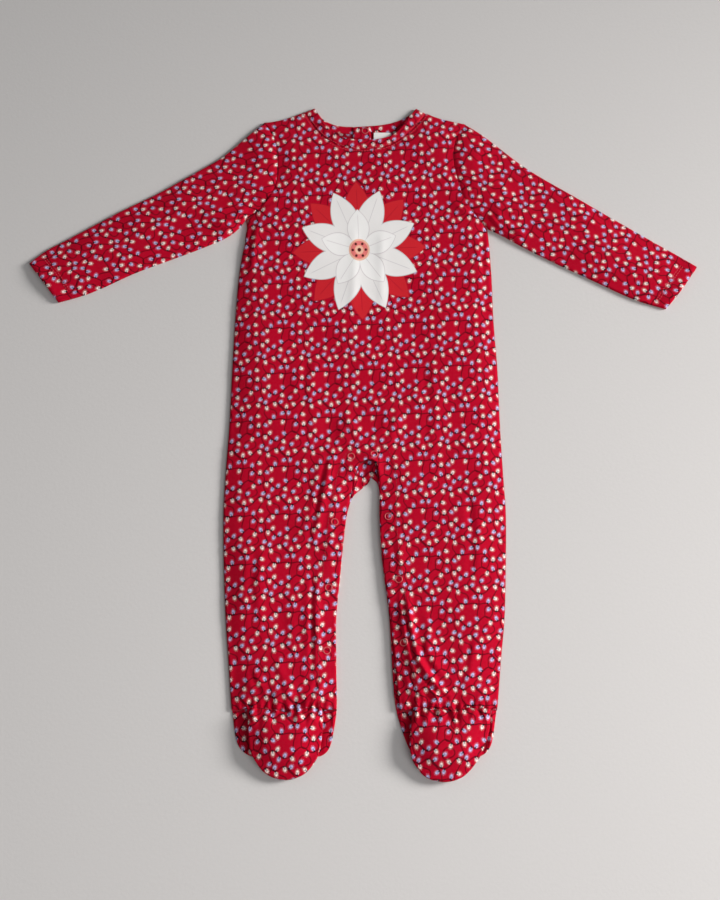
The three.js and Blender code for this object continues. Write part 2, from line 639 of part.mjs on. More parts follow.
// A flattened tube: the under half lies on the surface, the upper half stands on it, with rounded sides
function sleeve(side) {
  const sign = sideSign[side];
  const armhole = offsetLine(armholes[side], sign * HALF_GAP).reverse();
  const lower = spacedPoints(SLEEVE[side].lower, SLEEVE_RINGS);
  const top = spacedPoints(SLEEVE[side].top, SLEEVE_RINGS);
  const cuff = spacedPoints(SLEEVE[side].cuff, YOKE_ROWS);
  lower[0] = armhole[0];
  top[0] = armhole[YOKE_ROWS];
  const lowerInset = offsetLine(lower, sign * FOLD_INSET);
  const topInset = offsetLine(top, -sign * FOLD_INSET);
  const rings = fillBetween(armhole, cuff, lower, top);
  rings[1][1] = mixPoint(rings[1][1], rings[2][2], UNDERARM_CLEARANCE);
  const cuffMiddle = cuff[YOKE_ROWS / 2];
  const grid = rings.map((ring, index) => {
    const middle = ring[YOKE_ROWS / 2];
    const fromCuff = Math.hypot(middle.x - cuffMiddle.x, middle.y - cuffMiddle.y);
    const hem = fromCuff < CUFF_HEM_LENGTH ? CUFF_HEM_EXTRA : 0;
    return sleeveRing(ring, lowerInset[index], topInset[index], hem);
  });
  return wallGeometry(joinGrids([grid]));
}

function sleeveRing(ring, lowerInset, topInset, hem) {
  const last = ring.length - 1;
  const across = [lowerInset, ...ring.slice(1, last), topInset];
  const under = across.map(({ x, y }) => place(x, y, CLOTH / 2, CLOTH, [0, 0, -1]));
  const upper = across.map(({ x, y }) => place(x, y, frontLevel(x, y) + (CLOTH + hem) / 2, CLOTH + hem));
  const roundedSide = (edge, centre) => {
    const outX = (edge.x - centre.x) / FOLD_INSET;
    const outY = (edge.y - centre.y) / FOLD_INSET;
    return Array.from({ length: FOLD_STEPS - 1 }, (_, step) => {
      const angle = Math.PI * ((step + 1) / FOLD_STEPS - 0.5);
      const out = Math.cos(angle);
      const up = Math.sin(angle);
      return place(centre.x + outX * FOLD_RADIUS * out, centre.y + outY * FOLD_RADIUS * out,
        FOLD_INSET + FOLD_RADIUS * up, CLOTH, [outX * out, outY * out, up]);
    });
  };
  const topSide = roundedSide(ring[last], topInset);
  const lowerSide = roundedSide(ring[0], lowerInset).reverse();
  return [...under, ...topSide, ...upper.reverse(), ...lowerSide, under[0]];
}

// The band goes from the slit along the back, folds over at the shoulder, and so round the neck to the slit
function neckBand() {
  const acrossBand = (seam, free) => [seam, mixPoint(seam, free, 0.5), free];
  const halves = {};
  for (const side of ['left', 'right']) {
    const back = neckPairs('back', side, BACK_NECK_COLUMNS);
    const front = neckPairs('front', side, FRONT_NECK_COLUMNS);
    const tip = NECK_TIP[side];
    const edge = acrossBand(mixPoint(back[0].seam, tip, NECK_FOLD_EASE), tip);
    const length = Math.hypot(tip.x - edge[0].x, tip.y - edge[0].y);
    const out = {
      x: (sideSign[side] * (tip.y - edge[0].y)) / length,
      y: Math.abs(tip.x - edge[0].x) / length,
    };
    const foldLine = edge.map(({ x, y }) => ({ x: x - out.x * FOLD_INSET, y: y - out.y * FOLD_INSET }));
    const backPlaces = back.slice(1).reverse().map(({ seam, free }, index) => {
      const shift = index === 0 ? sideSign[side] * SLIT_HALF_GAP : 0;
      return acrossBand(seam, free).map(({ x, y }) => place(x + shift, y, CLOTH / 2, CLOTH));
    });
    backPlaces.push(foldLine.map(({ x, y }) => place(x, y, CLOTH / 2, CLOTH)));
    const fold = Array.from({ length: FOLD_STEPS - 1 }, (_, step) => {
      const angle = Math.PI * ((step + 1) / FOLD_STEPS - 0.5);
      const outward = FOLD_RADIUS * Math.cos(angle);
      const direction = [-out.x * Math.cos(angle), -out.y * Math.cos(angle), -Math.sin(angle)];
      return foldLine.map(({ x, y }) => place(x + out.x * outward, y + out.y * outward,
        FOLD_INSET + FOLD_RADIUS * Math.sin(angle), CLOTH, direction));
    });
    const facingDown = ({ x, y }) => place(x, y, frontLevel(x, y) + CLOTH / 2, CLOTH, [0, 0, -1]);
    const frontPlaces = [foldLine.map(facingDown),
      ...front.slice(1).map(({ seam, free }) => acrossBand(seam, free).map(facingDown))];
    halves[side] = [...backPlaces, ...fold, ...frontPlaces];
  }
  const grid = [...halves.left, ...halves.right.reverse().slice(1)];
  return wallGeometry(joinGrids([grid]));
}

// A straight strip that lies on the back
function flatStrip({ left, right, top, bottom, rows }) {
  const grid = Array.from({ length: rows + 1 }, (_, i) => {
    const y = mix(top, bottom, i / rows);
    return [left, (left + right) / 2, right].map((x) => restingOn(TRIM_REST, TRIM)({ x, y }));
  });
  return wallGeometry(joinGrids([grid]));
}

function legPlacket() {
  const legStation = (side) => (y) => {
    const x = readColumn(BACK_INNER_EDGES, side, y) + sideSign[side] * HALF_GAP;
    return { edgeX: x, edgeY: y, farX: x + sideSign[side] * LEG_PLACKET_WIDTH, farY: y };
  };
  const stations = [
    ...LEG_PLACKET_ROWS.map(legStation('left')),
    ...LEG_PLACKET_CROTCH,
    ...[...LEG_PLACKET_ROWS].reverse().map(legStation('right')),
  ];
  const grid = stations.map(({ edgeX, edgeY, farX, farY }) => {
    const edge = { x: edgeX, y: edgeY };
    const far = { x: farX, y: farY };
    return [edge, mixPoint(edge, far, 0.5), far].map(restingOn(TRIM_REST, TRIM));
  });
  return wallGeometry(joinGrids([grid]));
}

// Grid of a foot: columns across, rows from the ankle seam to the toe, with how far the foot is domed there
function footGrid(side) {
  const { firstColumn, lastColumn, outer, toe, inner } = FOOT[side];
  const seam = ankleRow(side).slice(firstColumn, lastColumn + 1)
    .map(({ x, y }) => ({ x, y: y - LAYER_GAP }));
  const columns = seam.length - 1;
  const outerSide = spacedPoints([seam[0], ...outer], FOOT_ROWS);
  const innerSide = spacedPoints([seam[columns], ...inner], FOOT_ROWS);
  const grid = fillBetween(seam, spacedPoints(toe, columns), outerSide, innerSide);
  return grid.map((row, i) => row.map(({ x, y }, j) => {
    const across = j / columns;
    const down = i / FOOT_ROWS;
    const dome = smooth(DOME_SIDE_SLOPE * Math.min(across, 1 - across))
      * smooth(DOME_ANKLE_START + DOME_ANKLE_SLOPE * down) * smooth(DOME_TOE_SLOPE * (1 - down));
    const drop = UPPER_SOLE_REST * smooth((TOE_DROP_START - y) / TOE_DROP_LENGTH);
    const nearAnkle = smooth(1 - GATHER_SLOPE * down) * smooth(GATHER_START + GATHER_SLOPE * down);
    const gather = j % 2 === 0 ? 0 : GATHER_HEIGHT * nearAnkle;
    return { x, y, dome, drop, gather, down };
  }));
}

function footTop(side) {
  const rows = footGrid(side).map((row) => row.map(({ x, y, dome, drop, gather, down }) => {
    const foot = FOOT_TOP_REST + FOOT_TOP_DOME * dome - drop + gather;
    const ankle = Math.max(frontLevel(x, ANKLE_Y), FOOT_TOP_REST);
    const level = mix(ankle, foot, smooth(FOOT_LEVEL_SLOPE * down));
    return place(x, y, level + CLOTH / 2, CLOTH);
  }));
  return wallGeometry(joinGrids([rows]));
}

// The sole goes up from the heel seam, folds back under the ankle seam and comes down again to the toe
function footSole(side) {
  const grid = footGrid(side);
  const columns = grid[0].length - 1;
  const lineDrop = SOLE_FOLD_DROP + FOLD_INSET;
  const foldLine = grid[0].map(({ x }) => ({ x, y: ANKLE_Y - ANKLE_WAVE - LAYER_GAP - lineDrop }));
  const heel = spacedPoints(FOOT[side].heel, columns);
  const lowerDome = (share, across) => LOWER_SOLE_DOME * Math.sin(Math.PI * share)
    * smooth(DOME_SIDE_SLOPE * Math.min(across, 1 - across));
  const lowerLeaf = Array.from({ length: SOLE_LOWER_ROWS + 1 }, (_, i) => foldLine.map((point, j) => {
    const share = i / SOLE_LOWER_ROWS;
    const { x, y } = mixPoint(heel[j], point, share);
    const level = LOWER_SOLE_REST + lowerDome(share, j / columns);
    return place(x, y, level + CLOTH / 2, CLOTH);
  }));
  const foldMiddle = LOWER_SOLE_REST + FOLD_INSET;
  const fold = Array.from({ length: FOLD_STEPS - 1 }, (_, step) => {
    const angle = Math.PI * ((step + 1) / FOLD_STEPS - 0.5);
    return foldLine.map(({ x, y }) => place(x, y + FOLD_RADIUS * Math.cos(angle),
      foldMiddle + FOLD_RADIUS * Math.sin(angle), CLOTH, [0, -Math.cos(angle), -Math.sin(angle)]));
  });
  const upperStart = foldLine.map(({ x, y }) => place(x, y, UPPER_SOLE_REST + CLOTH / 2, CLOTH, [0, 0, -1]));
  const upperLeaf = grid.slice(1).map((row) => row.map(({ x, y, dome, drop }) => {
    const level = UPPER_SOLE_REST + UPPER_SOLE_DOME * dome - drop;
    return place(x, y, level + CLOTH / 2, CLOTH, [0, 0, -1]);
  }));
  return wallGeometry(joinGrids([[...lowerLeaf, ...fold, upperStart, ...upperLeaf]]));
}

// Height of the upper face of a piece at a point
function heightOn(geometry, x, y) {
  const position = geometry.getAttribute('position');
  const index = geometry.getIndex();
  let highest = -Infinity;
  for (let face = 0; face < index.count; face += 3) {
    const [a, b, c] = [0, 1, 2].map((corner) => {
      return new THREE.Vector3().fromBufferAttribute(position, index.getX(face + corner));
    });
    const area = (b.x - a.x) * (c.y - a.y) - (c.x - a.x) * (b.y - a.y);
    if (Math.abs(area) < UPRIGHT_AREA) {
      continue;
    }
    const shareB = ((x - a.x) * (c.y - a.y) - (c.x - a.x) * (y - a.y)) / area;
    const shareC = ((b.x - a.x) * (y - a.y) - (x - a.x) * (b.y - a.y)) / area;
    const shareA = 1 - shareB - shareC;
    if (Math.min(shareA, shareB, shareC) >= 0) {
      highest = Math.max(highest, shareA * a.z + shareB * b.z + shareC * c.z);
    }
  }
  return highest;
}

// A ring snap on the cloth below it, which it follows
function snap(carrier, { x, y }) {
  const grid = [SNAP_INNER_RADIUS, SNAP_OUTER_RADIUS].map((radius) => {
    return Array.from({ length: SNAP_SIDES + 1 }, (_, step) => {
      const angle = (2 * Math.PI * (step % SNAP_SIDES)) / SNAP_SIDES;
      const at = { x: x + radius * Math.cos(angle), y: y + radius * Math.sin(angle) };
      return restingOn(heightOn(carrier, at.x, at.y) + LAYER_GAP, SNAP_HEIGHT)(at);
    });
  });
  return wallGeometry(joinGrids([grid]));
}

const CLOTH_RED = { color: 0xa8142a, roughness: 0.92, metalness: 0 };
const LABEL_WHITE = { color: 0xf2f1ee, roughness: 0.7, metalness: 0 };
const SNAP_RED = { color: 0xb01c30, roughness: 0.35, metalness: 0.1 };

const suit = new THREE.Group();
function addPiece(name, geometry, finish) {
  const piece = new THREE.Mesh(geometry, new THREE.MeshStandardMaterial(finish));
  piece.name = name;
  suit.add(piece);
  return geometry;
}

addPiece('back_body', backBody(), CLOTH_RED);
const front = addPiece('front_body', frontBody(), CLOTH_RED);
addPiece('neck_band', neckBand(), CLOTH_RED);
const placket = addPiece('back_placket', flatStrip(BACK_PLACKET), CLOTH_RED);
addPiece('leg_placket', legPlacket(), CLOTH_RED);
addPiece('neck_label', flatStrip(LABEL), LABEL_WHITE);
for (const side of ['left', 'right']) {
  addPiece(`sleeve_${side}`, sleeve(side), CLOTH_RED);
  addPiece(`foot_top_${side}`, footTop(side), CLOTH_RED);
  addPiece(`foot_sole_${side}`, footSole(side), CLOTH_RED);
  LEG_SNAPS[side].forEach((spot, index) => {
    addPiece(`snap_${side}_${index + 1}`, snap(front, spot), SNAP_RED);
  });
}
addPiece('snap_neck', snap(placket, NECK_SNAP), SNAP_RED);

export default suit;
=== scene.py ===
import math

import bmesh
import bpy
import numpy as np
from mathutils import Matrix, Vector
from mathutils.bvhtree import BVHTree


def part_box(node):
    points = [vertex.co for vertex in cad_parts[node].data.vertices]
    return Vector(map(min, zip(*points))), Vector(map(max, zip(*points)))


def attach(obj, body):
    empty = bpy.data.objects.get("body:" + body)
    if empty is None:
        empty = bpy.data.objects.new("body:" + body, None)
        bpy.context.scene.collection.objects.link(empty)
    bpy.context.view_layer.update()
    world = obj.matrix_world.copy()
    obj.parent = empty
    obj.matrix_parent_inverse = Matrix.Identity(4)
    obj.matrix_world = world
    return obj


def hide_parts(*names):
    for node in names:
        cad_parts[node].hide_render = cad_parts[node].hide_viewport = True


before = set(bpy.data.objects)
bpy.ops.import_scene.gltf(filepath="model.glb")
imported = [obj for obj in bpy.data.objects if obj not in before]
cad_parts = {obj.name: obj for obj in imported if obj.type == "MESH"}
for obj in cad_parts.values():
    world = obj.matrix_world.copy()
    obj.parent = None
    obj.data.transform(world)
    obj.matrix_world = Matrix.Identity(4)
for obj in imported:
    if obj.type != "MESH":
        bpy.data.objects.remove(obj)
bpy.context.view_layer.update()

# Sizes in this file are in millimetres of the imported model's frame, and go into Blender as metres.
MM = 0.001
CLOTH = 1.2
WELD = 1e-6
SUBDIVISIONS = 2

# The print's repeat, 48 mm across and 52 mm up: wires that run across or up it, each a level and waves of (height, turns, start),
# and closed loops of wire, each (x, y, radius, waves of (share of the radius, lobes, start))
TILE = 48.0
REPEAT_STRETCH = (1.0, TILE / 52.0, 1.0)
WIRES = [
    ("across", 5.0, ((3.2, 1, 0.6), (2.2, 2, 2.6), (1.3, 3, 4.6))),
    ("across", 21.5, ((3.7, 1, 2.4), (2.5, 2, 0.2), (0.8, 3, 1.1))),
    ("across", 37.5, ((3.0, 1, 4.4), (2.7, 2, 3.3), (0.8, 3, 5.2))),
    ("up", 11.0, ((4.2, 1, 1.2), (2.3, 2, 4.6), (0.7, 3, 0.5))),
    ("up", 34.0, ((4.5, 1, 3.6), (2.0, 2, 2.2), (0.9, 3, 2.9))),
]
LOOPS = [
    (22.5, 29.5, 5.6, ((0.16, 2, 0.8), (0.07, 3, 2.0))),
    (45.5, 12.5, 6.2, ((0.13, 2, 2.9), (0.09, 3, 0.4))),
    (24.0, 46.5, 5.0, ((0.20, 2, 5.0), (0.06, 3, 1.3))),
]
WIRE_HALF_WIDTH = 0.46

# Bulbs of one repeat: the wire or loop that each hangs on, where along it (in degrees on a loop), on which
# side (-1 is inside a loop), its lean in degrees and its tone (0 cool, 1 warm)
BULBS = [
    (0, 1.5, 1, 12, 0), (0, 12.0, -1, -15, 1), (0, 23.5, 1, 14, 0), (0, 26.5, -1, 4, 0),
    (0, 32.0, 1, -10, 1), (0, 37.5, -1, 4, 0), (0, 45.0, -1, 8, 1),
    (1, 1.5, -1, 16, 1), (1, 6.5, 1, -12, 0), (1, 14.5, 1, 10, 1), (1, 18.0, -1, -20, 0), (1, 25.0, 1, 5, 1),
    (1, 31.0, -1, 9, 1), (1, 39.0, 1, -8, 0), (1, 41.0, -1, 16, 1),
    (2, 1.5, 1, -16, 0), (2, 8.5, -1, 11, 1), (2, 14.0, 1, 14, 0), (2, 26.5, -1, 16, 1),
    (2, 33.0, 1, -4, 0), (2, 39.0, -1, 6, 1), (2, 46.5, -1, 14, 0), (2, 42.5, 1, 4, 1),
    (3, 14.5, -1, -2, 0), (4, 12.0, 1, 15, 1),
    (4, 30.0, -1, 12, 0), (5, 200, -1, 10, 0),
]
BULB_HALF_LENGTH = 2.3
BULB_HALF_WIDTH = 1.58
BULB_FROM_WIRE = 0.5


def wire_at(wire, along):
    """How far a wire stands off the axis that it runs along, and its slope there."""
    _, level, waves = WIRES[wire]
    height, slope = level, 0.0
    for amplitude, turns, start in waves:
        pace = 2 * math.pi * turns / TILE
        height += amplitude * math.sin(pace * along + start)
        slope += amplitude * pace * math.cos(pace * along + start)
    return height, slope


def bulb_place(wire, along, side, lean, tone):
    """Middle of a bulb and the direction in which it points away from its wire."""
    if wire < len(WIRES):
        height, slope = wire_at(wire, along)
        across = WIRES[wire][0] == "across"
        foot = Vector((along, height)) if across else Vector((height, along))
        normal = Vector((-slope, 1)) if across else Vector((1, -slope))
        normal = normal.normalized() * side
    else:
        loop_x, loop_y, radius, waves = LOOPS[wire - len(WIRES)]
        bearing = math.radians(along)
        out = Vector((math.cos(bearing), math.sin(bearing)))
        swell = sum(share * math.sin(lobes * bearing + start) for share, lobes, start in waves)
        foot = Vector((loop_x, loop_y)) + out * radius * (1 + swell)
        normal = out * side
    angle = math.atan2(normal.y, normal.x) + math.radians(lean)
    reach = BULB_FROM_WIRE + BULB_HALF_LENGTH
    return foot.x + reach * math.cos(angle), foot.y + reach * math.sin(angle), angle % (2 * math.pi)


# ---- nodes: arithmetic on values that differ over the surface
class Value:
    """A value in a node tree, on which plain arithmetic makes Math nodes."""

    def __init__(self, tree, socket):
        self.tree = tree
        self.socket = socket

    def math(self, operation, *others):
        node = self.tree.nodes.new("ShaderNodeMath")
        node.operation = operation
        for place, value in zip(node.inputs, (self, *others)):
            connect(self.tree, value, place)
        return Value(self.tree, node.outputs[0])

    def __add__(self, other):
        return self.math("ADD", other)

    def __sub__(self, other):
        return self.math("SUBTRACT", other)

    def __mul__(self, other):
        return self.math("MULTIPLY", other)

    def __truediv__(self, other):
        return self.math("DIVIDE", other)

    def flipped(self):
        return self.math("MULTIPLY", -1.0)

    def size(self):
        return self.math("ABSOLUTE")

    def least(self, other):
        return self.math("MINIMUM", other)

    def most(self, other):
        return self.math("MAXIMUM", other)

    def sine(self):
        return self.math("SINE")

    def cosine(self):
        return self.math("COSINE")

    def below(self, limit, softness):
        """1 where the value is under the limit, 0 over it, with a soft step between."""
        node = self.tree.nodes.new("ShaderNodeMapRange")
        node.interpolation_type = "SMOOTHSTEP"
        connect(self.tree, self, node.inputs["Value"])
        node.inputs["From Min"].default_value = limit - softness / 2
        node.inputs["From Max"].default_value = limit + softness / 2
        node.inputs["To Min"].default_value = 1.0
        node.inputs["To Max"].default_value = 0.0
        return Value(self.tree, node.outputs["Result"])


def connect(tree, value, place):
    if isinstance(value, Value):
        tree.links.new(value.socket, place)
    else:
        place.default_value = value


def vector_math(tree, operation, *inputs):
    node = tree.nodes.new("ShaderNodeVectorMath")
    node.operation = operation
    for place, value in zip(node.inputs, inputs):
        connect(tree, value, place)
    out = "Value" if operation in ("DOT_PRODUCT", "LENGTH", "DISTANCE") else "Vector"
    return Value(tree, node.outputs[out])


def mixed(tree, kind, factor, first, second):
    """Mix of two colours or two vectors."""
    node = tree.nodes.new("ShaderNodeMix")
    node.data_type = kind
    node.clamp_factor = True
    at = {"VECTOR": (4, 5, 1), "RGBA": (6, 7, 2)}[kind]
    connect(tree, factor, node.inputs[0])
    connect(tree, first, node.inputs[at[0]])
    connect(tree, second, node.inputs[at[1]])
    return Value(tree, node.outputs[at[2]])


def parts_of(tree, vector):
    node = tree.nodes.new("ShaderNodeSeparateXYZ")
    connect(tree, vector, node.inputs[0])
    return [Value(tree, out) for out in node.outputs]


def noise(tree, vector, scale, detail=2.0, roughness=0.5):
    node = tree.nodes.new("ShaderNodeTexNoise")
    connect(tree, vector, node.inputs["Vector"])
    node.inputs["Scale"].default_value = scale
    node.inputs["Detail"].default_value = detail
    node.inputs["Roughness"].default_value = roughness
    return Value(tree, node.outputs["Fac"])


def colour(red, green, blue):
    """A linear colour from the usual 0 to 255 values."""
    def linear(value):
        share = value / 255
        return share / 12.92 if share <= 0.04045 else ((share + 0.055) / 1.055) ** 2.4
    return (linear(red), linear(green), linear(blue), 1.0)


GROUND = colour(183, 0, 37)
WIRE = colour(66, 0, 14)
COOL_BULB = colour(190, 188, 228)
WARM_BULB = colour(246, 230, 222)
SOCKET = colour(20, 4, 26)
FILAMENT = colour(44, 34, 78)
# Painted shade: the back's inner face, where it shows under the front layer at the neck and crotch, is mixed
# this share of the way towards this dark red
INSIDE_PAINTED_SHADE = colour(84, 0, 16)
INSIDE_PAINTED_SHADE_SHARE = 0.42
CODE_SCALE = 1000.0
CODE_ANGLE_SHARE = 0.9
CODE_WRAP = 0.01
FAR = 1e6

# A trough's raised sides: how far out they stand, in its widths, and how high, in its depths
TROUGH_SIDE = 1.2
TROUGH_RISE = 2.5


def print_group():
    """Node group of the print: from a place in the cloth, in millimetres, to its colour."""
    tree = bpy.data.node_groups.new("string_lights_print", "ShaderNodeTree")
    tree.interface.new_socket("Place", in_out="INPUT", socket_type="NodeSocketVector")
    tree.interface.new_socket("Color", in_out="OUTPUT", socket_type="NodeSocketColor")
    start = tree.nodes.new("NodeGroupInput")
    end = tree.nodes.new("NodeGroupOutput")
    place = vector_math(tree, "MULTIPLY", Value(tree, start.outputs["Place"]), REPEAT_STRETCH)
    x, y, _ = parts_of(tree, place)

    # Wires: the least distance to any of them
    nearest_wire = None
    for direction, level, waves in WIRES:
        along, off = (x, y) if direction == "across" else (y, x)
        height = None
        slope = None
        for amplitude, turns, begin in waves:
            pace = 2 * math.pi * turns / TILE
            angle = along * pace + begin
            wave = angle.sine() * amplitude
            tilt = angle.cosine() * (amplitude * pace)
            height = wave if height is None else height + wave
            slope = tilt if slope is None else slope + tilt
        away = (off - height - level).math("WRAP", TILE / 2, -TILE / 2).size()
        away = away / (slope * slope + 1.0).math("SQRT")
        nearest_wire = away if nearest_wire is None else nearest_wire.least(away)
    wrap_high = (TILE / 2, TILE / 2, CODE_WRAP)
    wrap_low = (-TILE / 2, -TILE / 2, -CODE_WRAP)
    for loop_x, loop_y, radius, waves in LOOPS:
        offset = vector_math(tree, "SUBTRACT", place, (loop_x, loop_y, 0))
        wrapped = vector_math(tree, "WRAP", offset, wrap_high, wrap_low)
        loop_dx, loop_dy, _ = parts_of(tree, wrapped)
        bearing = loop_dy.math("ARCTAN2", loop_dx)
        reach = None
        for share, lobes, begin in waves:
            swell = (bearing * float(lobes) + begin).sine() * (share * radius)
            reach = swell + radius if reach is None else reach + swell
        away = (vector_math(tree, "LENGTH", wrapped) - reach).size()
        nearest_wire = nearest_wire.least(away)

    # Bulbs: the vector to the nearest one, whose third part carries its angle and tone
    nearest = None
    for row in BULBS:
        bulb_x, bulb_y, angle = bulb_place(*row)
        code = (row[4] + CODE_ANGLE_SHARE * angle / (2 * math.pi)) / CODE_SCALE
        offset = vector_math(tree, "SUBTRACT", place, (bulb_x, bulb_y, -code))
        wrapped = vector_math(tree, "WRAP", offset, wrap_high, wrap_low)
        squared = vector_math(tree, "DOT_PRODUCT", wrapped, wrapped)
        if nearest is None:
            nearest, least = wrapped, squared
            continue
        nearest = mixed(tree, "VECTOR", squared.math("LESS_THAN", least), nearest, wrapped)
        least = least.least(squared)
    dx, dy, coded = parts_of(tree, nearest)
    coded = coded * CODE_SCALE
    warm = coded.math("GREATER_THAN", (1 + CODE_ANGLE_SHARE) / 2)
    angle = (coded - warm) * (2 * math.pi / CODE_ANGLE_SHARE)
    along = dx * angle.cosine() + dy * angle.sine()
    across = dy * angle.cosine() - dx * angle.sine()

    ragged = (noise(tree, place, 1.3, 2.0) - 0.5) * 0.3
    oval = (along * along / BULB_HALF_LENGTH ** 2 + across * across / BULB_HALF_WIDTH ** 2).math("SQRT")
    oval = oval + ragged
    body = oval.below(1.0, 0.06)
    turn = across.math("ARCTAN2", along)
    rays = (turn * 11.0).sine().math("GREATER_THAN", -0.1)
    ring = oval.below(1.6, 0.3) - oval.below(1.16, 0.1)
    far_side = (along + 0.9).flipped().below(0.0, 0.8)
    glow = ring * rays * far_side * 0.36
    filament = ((across.size() - (along + 1.5) * 0.34 - 0.1).size().below(0.34, 0.16)
                * (along + 0.6).size().below(1.15, 0.3))
    socket = ((along + BULB_HALF_LENGTH) * (along + BULB_HALF_LENGTH) + across * across).below(0.9, 0.5)

    cloth = noise(tree, place, 0.035, 3.0)
    ground = mixed(tree, "RGBA", cloth, tuple(0.9 * c for c in GROUND[:3]) + (1,),
                   tuple(1.1 * c for c in GROUND[:3]) + (1,))
    tone = mixed(tree, "RGBA", warm, COOL_BULB, WARM_BULB)
    shown = mixed(tree, "RGBA", nearest_wire.below(WIRE_HALF_WIDTH, 0.3) * 0.9, ground, WIRE)
    shown = mixed(tree, "RGBA", glow, shown, tone)
    shown = mixed(tree, "RGBA", body, shown, tone)
    shown = mixed(tree, "RGBA", filament * 0.75, shown, FILAMENT)
    shown = mixed(tree, "RGBA", socket, shown, SOCKET)
    tree.links.new(shown.socket, end.inputs["Color"])
    return tree


# The chest picture: a winter flower of three rings of petals
# (petals, turn in degrees, where they start, where they end, half width, colour, edge colour)
FLOWER_AT = (5.0, 199.5)
FLOWER_STRETCH = (1.08, 0.96)
PETAL_RINGS = [
    (8, 0.0, 4.0, 80.0, 17.5, colour(206, 38, 48), colour(178, 22, 40)),
    (8, 22.5, 4.0, 73.0, 16.0, colour(240, 238, 236), colour(206, 202, 204)),
    (5, 18.0, 2.0, 47.0, 13.5, colour(247, 246, 244), colour(214, 208, 209)),
]
PETAL_EDGE = 0.9
FLOWER_EYE = (12.5, colour(243, 190, 164), colour(236, 128, 124), colour(84, 34, 30))


def flower_group():
    """Node group of the chest picture: from a place in the cloth to its colour and how much it covers."""
    tree = bpy.data.node_groups.new("winter_flower", "ShaderNodeTree")
    tree.interface.new_socket("Place", in_out="INPUT", socket_type="NodeSocketVector")
    tree.interface.new_socket("Color", in_out="OUTPUT", socket_type="NodeSocketColor")
    tree.interface.new_socket("Cover", in_out="OUTPUT", socket_type="NodeSocketFloat")
    start = tree.nodes.new("NodeGroupInput")
    end = tree.nodes.new("NodeGroupOutput")
    x, y, _ = parts_of(tree, Value(tree, start.outputs["Place"]))
    x = (x - FLOWER_AT[0]) * FLOWER_STRETCH[0]
    y = (y - FLOWER_AT[1]) * FLOWER_STRETCH[1]
    radius = (x * x + y * y).math("SQRT")
    bearing = y.math("ARCTAN2", x)
    shown, cover = None, None
    for petals, turn, inner, outer, half_width, fill, edge in PETAL_RINGS:
        half_angle = math.pi / petals
        folded = (bearing - math.radians(turn)).math("WRAP", half_angle, -half_angle)
        along = (radius * folded.cosine() - inner) / (outer - inner)
        across = radius * folded.sine()
        margin = along * (along * -1.0 + 1.0) * (4 * half_width) - across.size()
        inside = margin.flipped().below(0.0, 0.5)
        rim = margin.below(PETAL_EDGE, 0.8)
        vein = across.size().below(0.35, 0.4) * (along - 0.45).size().below(0.4, 0.1) * 0.8
        petal = mixed(tree, "RGBA", rim.most(vein), fill, edge)
        shown = petal if shown is None else mixed(tree, "RGBA", inside, shown, petal)
        cover = inside if cover is None else cover.most(inside)
    eye_radius, peach, pink, dark = FLOWER_EYE
    ring = bearing.math("WRAP", math.pi / 6, -math.pi / 6)
    bead_x = radius * ring.cosine() - 0.62 * eye_radius
    bead_y = radius * ring.sine()
    beads = (bead_x * bead_x + bead_y * bead_y).math("SQRT")
    eye = mixed(tree, "RGBA", (radius - 0.62 * eye_radius).size().below(2.6, 0.4), peach, pink)
    eye = mixed(tree, "RGBA", beads.below(1.5, 0.4), eye, dark)
    eye = mixed(tree, "RGBA", radius.below(2.2, 0.4), eye, dark)
    middle = radius.below(eye_radius, 0.5)
    shown = mixed(tree, "RGBA", middle, shown, eye)
    cover = cover.most(middle)
    tree.links.new(shown.socket, end.inputs["Color"])
    tree.links.new(cover.socket, end.inputs["Cover"])
    return tree


KNIT_COLUMN = 0.95
KNIT_COURSE = 0.75


